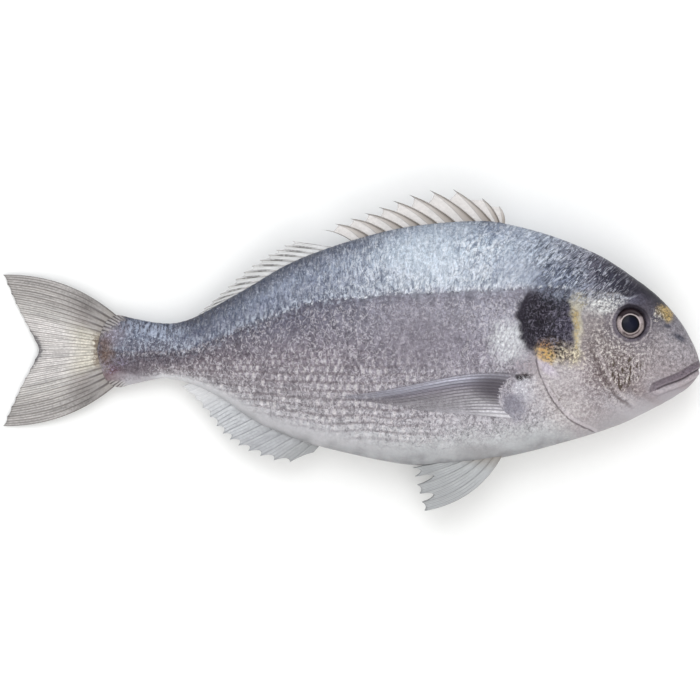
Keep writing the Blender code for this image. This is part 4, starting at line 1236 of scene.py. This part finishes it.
def eye_material():
    """A wet eyeball: blue-black pupil, pale ring, and an iris that is dark above."""
    m = Surface(
        "eye_wet_cornea", roughness=0.3, coat=0.4, coat_roughness=0.04, coat_ior=1.2,
        specular=0.1)
    times, between, paint = m.times, m.between, m.paint
    uv = m.coordinates("eye")
    x, y = m.parts(uv)
    radius = m.add("ShaderNodeVectorMath", {0: uv}, output="Value", operation="LENGTH")
    fine = m.noise(uv, 0.45, 3.0, 0.6)
    spread = m.plus(radius, m.sway(m.noise(uv, 1.8, 2.0, 0.5), 0.9))
    m.colour = m.ramp(spread, IRIS_TONES, ORBIT_RADIUS)
    paint("cfc0bf", between(x, -2.6, -4.2), between(y, 3.0, 1.2), between(radius, 5.75, 5.4),
          between(fine, 0.3, 0.5, 0.6, 1.0), 0.85)
    paint("a99c98", between(x, 3.4, 4.6), between(y, 2.2, 0.6), between(radius, 6.1, 5.7),
          between(fine, 0.3, 0.6, 0.5, 1.0), 0.7)
    lit = times(between(x, 1.6, 3.4), between(y, 3.8, 2.6), between(y, -0.6, 0.8))
    paint("d3c4c6", lit, between(radius, 5.9, 5.1), 0.8)
    paint("2b2025", between(m.plus(y, times(x, 0.3)), 0.6, 2.4), between(radius, 4.2, 4.6),
          m.minus(1.0, times(lit, 0.7)), 0.95)
    uneven = m.plus(spread, times(between(x, 1.0, 4.0), -0.25))
    paint("d0c3c3", m.band(uneven, 4.1, 0.36, 0.1), between(fine, 0.3, 0.6, 0.5, 1.0),
          between(y, -3.6, 0.5, 0.35, 0.85))
    m.lighten(m.plus(0.66, times(fine, 0.68)))
    lens = m.ramp(radius, LENS_TONES, ORBIT_RADIUS)
    m.set(base_color=m.blend(between(radius, 3.78, 3.98), lens, m.colour))
    return m.material


def floor_material():
    """Matt painted board."""
    m = Surface("floor_matt_painted_board", specular=0.2)
    grain = m.noise(m.coordinates(), 4.0 * MM, 3.0, 0.5)
    m.colour = m.add("ShaderNodeRGB")
    m.colour.default_value = (*linear(bpy.context.scene.bream_colours.floor), 1.0)
    m.lighten(m.plus(0.99, m.times(grain, 0.02)))
    m.set(base_color=m.colour, roughness=m.plus(0.75, m.times(grain, 0.1)))
    return m.material


# Pieces


def grid_piece(name, points, uvs=None):
    """A grid primitive whose points are then set: rows of the array run along Y."""
    rows, columns = points.shape[:2]
    deselect()
    bpy.ops.mesh.primitive_grid_add(
        x_subdivisions=columns - 1, y_subdivisions=rows - 1, size=1)
    piece = bpy.context.object
    piece.name = name
    piece.data.vertices.foreach_set("co", points.reshape(-1).astype(np.float32))
    if uvs is not None:
        layer = piece.data.uv_layers[0]
        layer.name = "rays"
        corners = np.empty(len(piece.data.loops), dtype=np.int32)
        piece.data.loops.foreach_get("vertex_index", corners)
        layer.data.foreach_set("uv", uvs.reshape(-1, 2)[corners].reshape(-1))
    piece.data.update()
    return piece


def close_up(piece):
    """Merges meeting edges of a shaped grid and turns its faces outwards."""
    deselect()
    piece.select_set(True)
    bpy.context.view_layer.objects.active = piece
    bpy.ops.object.mode_set(mode="EDIT")
    bpy.ops.mesh.select_all(action="SELECT")
    bpy.ops.mesh.remove_doubles(threshold=MERGE_GAP)
    bpy.ops.mesh.normals_make_consistent(inside=False)
    bpy.ops.object.mode_set(mode="OBJECT")
    bpy.ops.object.shade_smooth()


def finish_piece(piece, material, node):
    """Gives a piece its material, and its place in the frame."""
    piece.data.materials.clear()
    piece.data.materials.append(material)
    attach(piece, "root")
    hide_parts(node)


def fin_shell(name, middle, half, uvs):
    """A closed thin shell round a grid of middle points, thick by half on each face."""
    half = np.broadcast_to(half, middle.shape[:2]).copy()
    half[0] = half[-1] = half[:, 0] = 0
    upper, lower = middle.copy(), middle.copy()
    upper[..., 2] += half
    lower[..., 2] -= half
    # One grid wraps from the upper face over the outer edge to the lower face
    wrapped = np.concatenate([upper, lower[:, ::-1]], axis=1)
    both = np.concatenate([uvs, uvs[:, ::-1]], axis=1)
    wrapped[..., 2] = np.maximum(wrapped[..., 2], 0.0)
    piece = grid_piece(name, wrapped, both)
    close_up(piece)
    return piece


def bowed(root, tip, t, bow):
    """Places along rays that bend to one side by their bow, in per cent."""
    dx, dy = tip[0] - root[0], tip[1] - root[1]
    length = np.hypot(dx, dy)
    lift = 4 * bow * t * (1 - t)
    return root[0] + dx * t + dy / length * lift, root[1] + dy * t - dx / length * lift


def fin_grid(rays, reach_at, per_band, steps, bow, sink=1.1):
    """Places, thicknesses and ray numbers of a fin: rays is a list of (root, tip)."""
    bands = len(rays) - 1
    number = np.linspace(0, bands, bands * per_band + 1)
    n = np.minimum(number.astype(int), bands - 1)
    t = number - n
    roots, tips = (np.array([ray[k] for ray in rays]) for k in (0, 1))
    root = roots[n] + (roots[n + 1] - roots[n]) * t[:, None]
    tip = tips[n] + (tips[n + 1] - tips[n]) * t[:, None]
    reach = reach_at(n, t)
    share = np.linspace(0, 1, steps + 1)[None, :]
    inner = (sink / np.hypot(*(tip - root).T))[:, None]
    place = reach[:, None] * share - inner * (1 - share)
    along, up = bowed(
        root.T[:, :, None], tip.T[:, :, None], place, bow(number / bands)[:, None])
    uvs = np.stack([np.broadcast_to(number[:, None], place.shape), place], axis=-1)
    return along, up, t[:, None], share, uvs


def leaning_rays(count, base, length, lean, profile):
    """The rays of a fin on the middle line, as (root, tip) pairs of places."""
    n = np.arange(count)
    along, far, angle = curve(base)(n), curve(length)(n), np.radians(curve(lean)(n))
    root = np.stack([along, profile(along)], axis=1)
    tip = root + np.stack([-far * np.cos(angle), far * np.sin(angle)], axis=1)
    return list(zip(root, tip))


def notch(depth, sharp=1.0):
    """How far the sheet reaches between two rays: all the way at each ray."""
    return lambda n, t: 1 - depth * (4 * t * (1 - t)) ** sharp


def ridge(t, width):
    """1 on a ray and 0 between rays."""
    return np.exp(-(np.minimum(t, 1 - t) / width) ** 2)


class BreamSizes(bpy.types.PropertyGroup):
    """Sizes of the fish, in metres."""

    total_length: bpy.props.FloatProperty(
        name="Total length", description="From the snout to the tail's tips",
        default=0.300, min=0.05, unit="LENGTH")
    thickness: bpy.props.FloatProperty(
        name="Body thickness", description="The body's greatest thickness",
        default=0.040, min=0.01, unit="LENGTH")
    gill_step: bpy.props.FloatProperty(
        name="Gill cover step", description="How far the gill cover stands out",
        default=0.0010, min=0.0, unit="LENGTH")
    scale_relief: bpy.props.FloatProperty(
        name="Scale relief", description="How far a scale's rear edge stands out",
        default=0.00016, min=0.0, unit="LENGTH")
    eye_radius: bpy.props.FloatProperty(
        name="Eye radius", description="Radius of the eyeball across its face",
        default=0.0069, min=0.001, unit="LENGTH")
    eye_depth: bpy.props.FloatProperty(
        name="Eye depth", description="Half thickness of the flattened eyeball",
        default=0.0046, min=0.001, unit="LENGTH")
    eye_bulge: bpy.props.FloatProperty(
        name="Eye bulge", description="How far the eye stands out of the skin",
        default=0.0017, min=0.0, unit="LENGTH")


class BreamColours(bpy.types.PropertyGroup):
    """Colours of the fish and floor, as sRGB hex."""

    # A painted highlight over the upper flank's own silvery blue-grey
    silver_back: bpy.props.StringProperty(
        name="Back", description="The light blue-grey of the upper flank", default="bcc9d8")
    forehead: bpy.props.StringProperty(
        name="Forehead", description="The dark skin over the eyes", default="2a2733")
    blotch: bpy.props.StringProperty(
        name="Blotch", description="The dark mark over the gill cover", default="1f1926")
    gold_band: bpy.props.StringProperty(
        name="Gold band", description="The band between the eyes", default="b29d70")
    gold_patch: bpy.props.StringProperty(
        name="Gold patch", description="The patch under the blotch", default="907861")
    lip: bpy.props.StringProperty(
        name="Lip", description="The upper lip", default="71666f")
    floor: bpy.props.StringProperty(
        name="Floor", description="The board that the fish lies on", default="f4f4f3")


class BREAM_OT_skin(bpy.types.Operator):
    """Builds the scaled body and head"""

    bl_idname = "bream.skin"
    bl_label = "Build skin"

    def execute(self, context):
        along, up, side, points = skin_points()
        fields = skin_fields(along, up, points)
        normals = grid_normals(points)
        out = skin_relief(along, up, fields) + socket_shape(points, side)
        out = out + skin_bumps(points, along, fields)
        # Relief fades where the sections close, at the tail's root and the snout
        out = out * step_between(13.7, 15.5, along) * step_between(0.0, 0.25, 100 - along)
        shaped = points + normals * out[..., None]
        shaped[..., 2] += side * sizes().gill_step * gill_raise(along, up)
        shaped[..., 2] = np.maximum(shaped[..., 2], 0.0)
        shaped[:, -1] = shaped[:, 0]
        skin = grid_piece("skin", shaped)
        for name, values in fields.items():
            layer = skin.data.attributes.new(name, "FLOAT", "POINT")
            layer.data.foreach_set("value", values.reshape(-1).astype(np.float32))
        for kind, values in patch_layers(along, up).items():
            layer = skin.data.attributes.new(f"patches_{kind}", "FLOAT_COLOR", "POINT")
            layer.data.foreach_set("color", values.reshape(-1).astype(np.float32))
        deselect()
        skin.select_set(True)
        bpy.ops.object.mode_set(mode="EDIT")
        bpy.ops.mesh.select_all(action="SELECT")
        bpy.ops.mesh.remove_doubles(threshold=MERGE_GAP)
        bpy.ops.mesh.select_all(action="DESELECT")
        bpy.ops.mesh.select_non_manifold()
        bpy.ops.mesh.fill()
        bpy.ops.object.mode_set(mode="OBJECT")
        close_up(skin)
        finish_piece(skin, skin_material(), "fish")
        return {"FINISHED"}


class BREAM_OT_middle_fins(bpy.types.Operator):
    """Builds the back, anal and tail fins"""

    bl_idname = "bream.middle_fins"
    bl_label = "Build middle fins"

    def execute(self, context):
        self.leaning(
            "spiny_fin", (11, SPINE_BASE, SPINE_LENGTH, SPINE_LEAN, back),
            lambda n, t: np.interp(t, *zip(*SPINY_REACH)), 20, 0.3, 0.075, 0.85,
            fin_material("spiny_fin_membrane", "f5f0ed", "8b857f", 0.6,
                         ((1, -0.2, -0.1, 0.1),), spine_marks))
        self.leaning(
            "soft_fin", (13, SOFT_BASE, SOFT_LENGTH, SOFT_LEAN, back),
            notch(0.15), 12, 0.0, 0.2, 0.5,
            fin_material("soft_fin_membrane", "ffffff", "a8a29b", 0.5,
                         ((1, -0.2, -0.1, 0.12), (3, 0.3, 0.6, 0.14)), soft_marks))
        self.leaning(
            "anal_fin", (14, ANAL_BASE, ANAL_LENGTH, ANAL_LEAN, belly),
            notch(0.16), 12, 0.0, 0.16, 0.5,
            fin_material("anal_fin_membrane", "dcdee2", "8b8d92", 0.7,
                         ((1, -0.2, -0.1, 0.08), (3, 0.1, 0.35, 0.14)), anal_marks, 0.7))
        self.tail()
        return {"FINISHED"}

    def leaning(self, name, rays, reach, per_band, bow, width, thick, material):
        places = fin_grid(
            leaning_rays(*rays), reach, per_band, 22, lambda share: share * 0 + bow)
        self.shell(name, places, width, thick, material)

    def tail(self):
        a = np.linspace(1, -1, TAIL_RAYS)
        at_root, upper, lower = TAIL_HEIGHTS
        root = np.stack([TAIL_ROOT - TAIL_ROOT_BOW * (1 - a * a), at_root * a], axis=1)
        reach = np.where(a > 0, upper, lower)
        fork = TAIL_FORK * (1 - np.abs(a) ** TAIL_FORK_POWER)
        fork = fork - TAIL_FORK_WAVE * np.sin(math.pi * np.abs(a))
        tip = np.stack([fork, reach * a], axis=1)
        material = fin_material(
            "tail_fin_membrane", "ffffff", "908b89", 0.85,
            ((1, -0.2, -0.1, 0.1), (2, 0.1, 0.28, 0.15), (4, 0.45, 0.65, 0.2)), tail_marks,
            1.3, (1.8, 2.2))
        places = fin_grid(
            list(zip(root, tip)), notch(0.012), 14, 46,
            lambda share: TAIL_BOW * (1 - 2 * share) ** 3)
        self.shell("tail_fin", places, 0.2, 0.5, material)

    def shell(self, name, places, width, thick, material):
        along, up, t, share, uvs = places
        half = (WEB + (thick - WEB) * ridge(t, width)) * (1 - 0.6 * share) * MM
        ripple = 0.25 * MM * np.sin(uvs[..., 0] * 2.1 + 1.5 * share) * share
        middle = world(along, up, lie(along) * MM + ripple)
        piece = fin_shell(name, middle, half, uvs)
        finish_piece(piece, material, "fish")


class BREAM_OT_side_fins(bpy.types.Operator):
    """Builds the breast and belly fins of both sides"""

    bl_idname = "bream.side_fins"
    bl_label = "Build side fins"

    def execute(self, context):
        breast = fin_material(
            "breast_fin_membrane", "ffffff", "8f8b91", 0.92,
            ((1, -0.2, -0.1, 0.22), (2, 0.35, 0.6, 0.24)), breast_marks, 1.3, (0.8, 1.8))
        pelvic = fin_material(
            "pelvic_fin_membrane", "c2c4c6", "8f9193", 0.84,
            ((1, -0.2, -0.1, 0.1), (3, 0.2, 0.5, 0.16), (6, 0.5, 0.7, 0.2)), pelvic_marks)
        for name, side in (("right", 1), ("left", -1)):
            self.breast(f"breast_fin_{name}", side, breast)
            self.pelvic(f"pelvic_fin_{name}", side, pelvic)
        return {"FINISHED"}

    def breast(self, name, side, material):
        per_band, steps = 10, 70
        number = np.linspace(0, BREAST_BANDS, BREAST_BANDS * per_band + 1)[:, None]
        a = number / BREAST_BANDS
        share = np.linspace(0, 1, steps + 1)[None, :]
        root = [curve(list(zip(BREAST_ROOT_SHARES, values)))(a)
                for values in zip(*BREAST_ROOT)]
        reach = np.sin(a * math.pi / 2) ** 1.4
        tip = [p + (q - p) * reach for p, q in zip(*BREAST_TIP)]
        # The front ray bulges upwards near its root
        bow = BREAST_BOW * (1 - a) * (1 - share) ** 1.5
        along, up = bowed(root, tip, share + 0 * a, bow)
        rib = ridge(np.mod(number, 1), 0.22)
        lift = (0.3 + 0.5 * rib) * (1 - 0.55 * share) * step_between(-0.02, 0.1, share)
        top = on_flank(along, up, side, (lift - 0.45 * step_between(0.1, 0, share)) * MM)
        low = on_flank(along, up, side, -0.7 * MM)
        middle, half = (top + low) / 2, side * (top - low)[..., 2] / 2
        uvs = np.stack(np.broadcast_arrays(number, share), axis=-1)
        piece = fin_shell(name, middle, half, uvs)
        finish_piece(piece, material, "fish")

    def pelvic(self, name, side, material):
        a = np.linspace(0, 1, 6)[:, None]
        root = np.array(PELVIC_BASE[0]) * (1 - a) + np.array(PELVIC_BASE[1]) * a
        tip = np.array(PELVIC_TIP[0]) * (1 - a) + np.array(PELVIC_TIP[1]) * a
        depth = np.array(PELVIC_NOTCH)
        along, up, t, share, uvs = fin_grid(
            list(zip(root, tip)), lambda n, t: 1 - 0.26 * depth[n] * (4 * t * (1 - t)) ** 0.7,
            18, 40, lambda s: PELVIC_BOW * (1 - s) ** 1.5)
        half = (WEB + 0.4 * ridge(t, 0.2)) * (1 - 0.6 * share) * MM
        drop = 0.10 * (up - PELVIC_BASE[0][1]) * sizes().total_length / 100
        middle = world(along, up, lie(along) * MM + side * PELVIC_ASIDE * MM + drop)
        piece = fin_shell(name, middle, half, uvs)
        finish_piece(piece, material, "fish")


class BREAM_OT_eyes(bpy.types.Operator):
    """Builds both eyeballs"""

    bl_idname = "bream.eyes"
    bl_label = "Build eyes"

    def execute(self, context):
        material = eye_material()
        size = sizes()
        for name, side in (("right", 1), ("left", -1)):
            deselect()
            bpy.ops.mesh.primitive_uv_sphere_add(segments=96, ring_count=48, radius=1)
            ball = bpy.context.object
            ball.name = f"eyeball_{name}"
            co = np.array([v.co[:] for v in ball.data.vertices])
            co = co * (size.eye_radius, size.eye_radius, size.eye_depth)
            placing = np.array(eye_placing(side))
            co = co @ placing[:3, :3].T + placing[:3, 3]
            local = (co[:, :2] - placing[:2, 3]) / MM
            layer = ball.data.uv_layers[0]
            layer.name = "eye"
            for loop in ball.data.loops:
                layer.data[loop.index].uv = local[loop.vertex_index]
            ball.data.vertices.foreach_set("co", co.reshape(-1).astype(np.float32))
            ball.data.update()
            bpy.ops.object.shade_smooth()
            finish_piece(ball, material, f"eye_{name}")
        return {"FINISHED"}


class BREAM_OT_stage(bpy.types.Operator):
    """Adds the floor, the lamps and the camera"""

    bl_idname = "bream.stage"
    bl_label = "Build stage"

    def execute(self, context):
        deselect()
        bpy.ops.mesh.primitive_plane_add(size=6)
        floor = context.object
        floor.name = "floor"
        floor.data.materials.append(floor_material())
        for name, place, size, power, colour in LAMPS:
            bpy.ops.object.light_add(type="AREA", location=place)
            lamp = context.object
            lamp.name = name
            lamp.data.size = size
            lamp.data.energy = power
            lamp.data.color = linear(colour)
            lamp.rotation_euler = (-Vector(place)).to_track_quat("-Z", "Y").to_euler()
        world_light = bpy.data.worlds.new("studio")
        world_light.use_nodes = True
        background = world_light.node_tree.nodes["Background"]
        background.inputs["Color"].default_value = hexed("fcfdff")
        background.inputs["Strength"].default_value = 0.7
        context.scene.world = world_light
        bpy.ops.object.camera_add(location=(0, 0, CAMERA_HEIGHT), rotation=(0, 0, 0))
        camera = context.object
        camera.data.lens = camera.data.sensor_width * (
            CAMERA_HEIGHT - SHARP_LEVEL) / sizes().total_length
        context.scene.camera = camera
        context.scene.view_settings.view_transform = "Standard"
        return {"FINISHED"}


class BREAM_PT_panel(bpy.types.Panel):
    """Lists the steps and the sizes of the fish"""

    bl_idname = "BREAM_PT_panel"
    bl_label = "Sea bream"
    bl_space_type = "VIEW_3D"
    bl_region_type = "UI"
    bl_category = "Sea bream"

    def draw(self, context):
        for group in (context.scene.bream_sizes, context.scene.bream_colours):
            for name in group.__annotations__:
                self.layout.prop(group, name)
        for step in STEPS:
            self.layout.operator(step.bl_idname)


STEPS = (
    BREAM_OT_skin, BREAM_OT_middle_fins, BREAM_OT_side_fins, BREAM_OT_eyes, BREAM_OT_stage,
)
CLASSES = (BreamSizes, BreamColours, *STEPS, BREAM_PT_panel)


def register():
    for kind in CLASSES:
        bpy.utils.register_class(kind)
    bpy.types.Scene.bream_sizes = bpy.props.PointerProperty(type=BreamSizes)
    bpy.types.Scene.bream_colours = bpy.props.PointerProperty(type=BreamColours)


def unregister():
    del bpy.types.Scene.bream_sizes
    del bpy.types.Scene.bream_colours
    for kind in reversed(CLASSES):
        bpy.utils.unregister_class(kind)


def main():
    register()
    bpy.ops.bream.skin()
    bpy.ops.bream.middle_fins()
    bpy.ops.bream.side_fins()
    bpy.ops.bream.eyes()
    bpy.ops.bream.stage()
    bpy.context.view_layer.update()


if __name__ == "__main__":
    main()
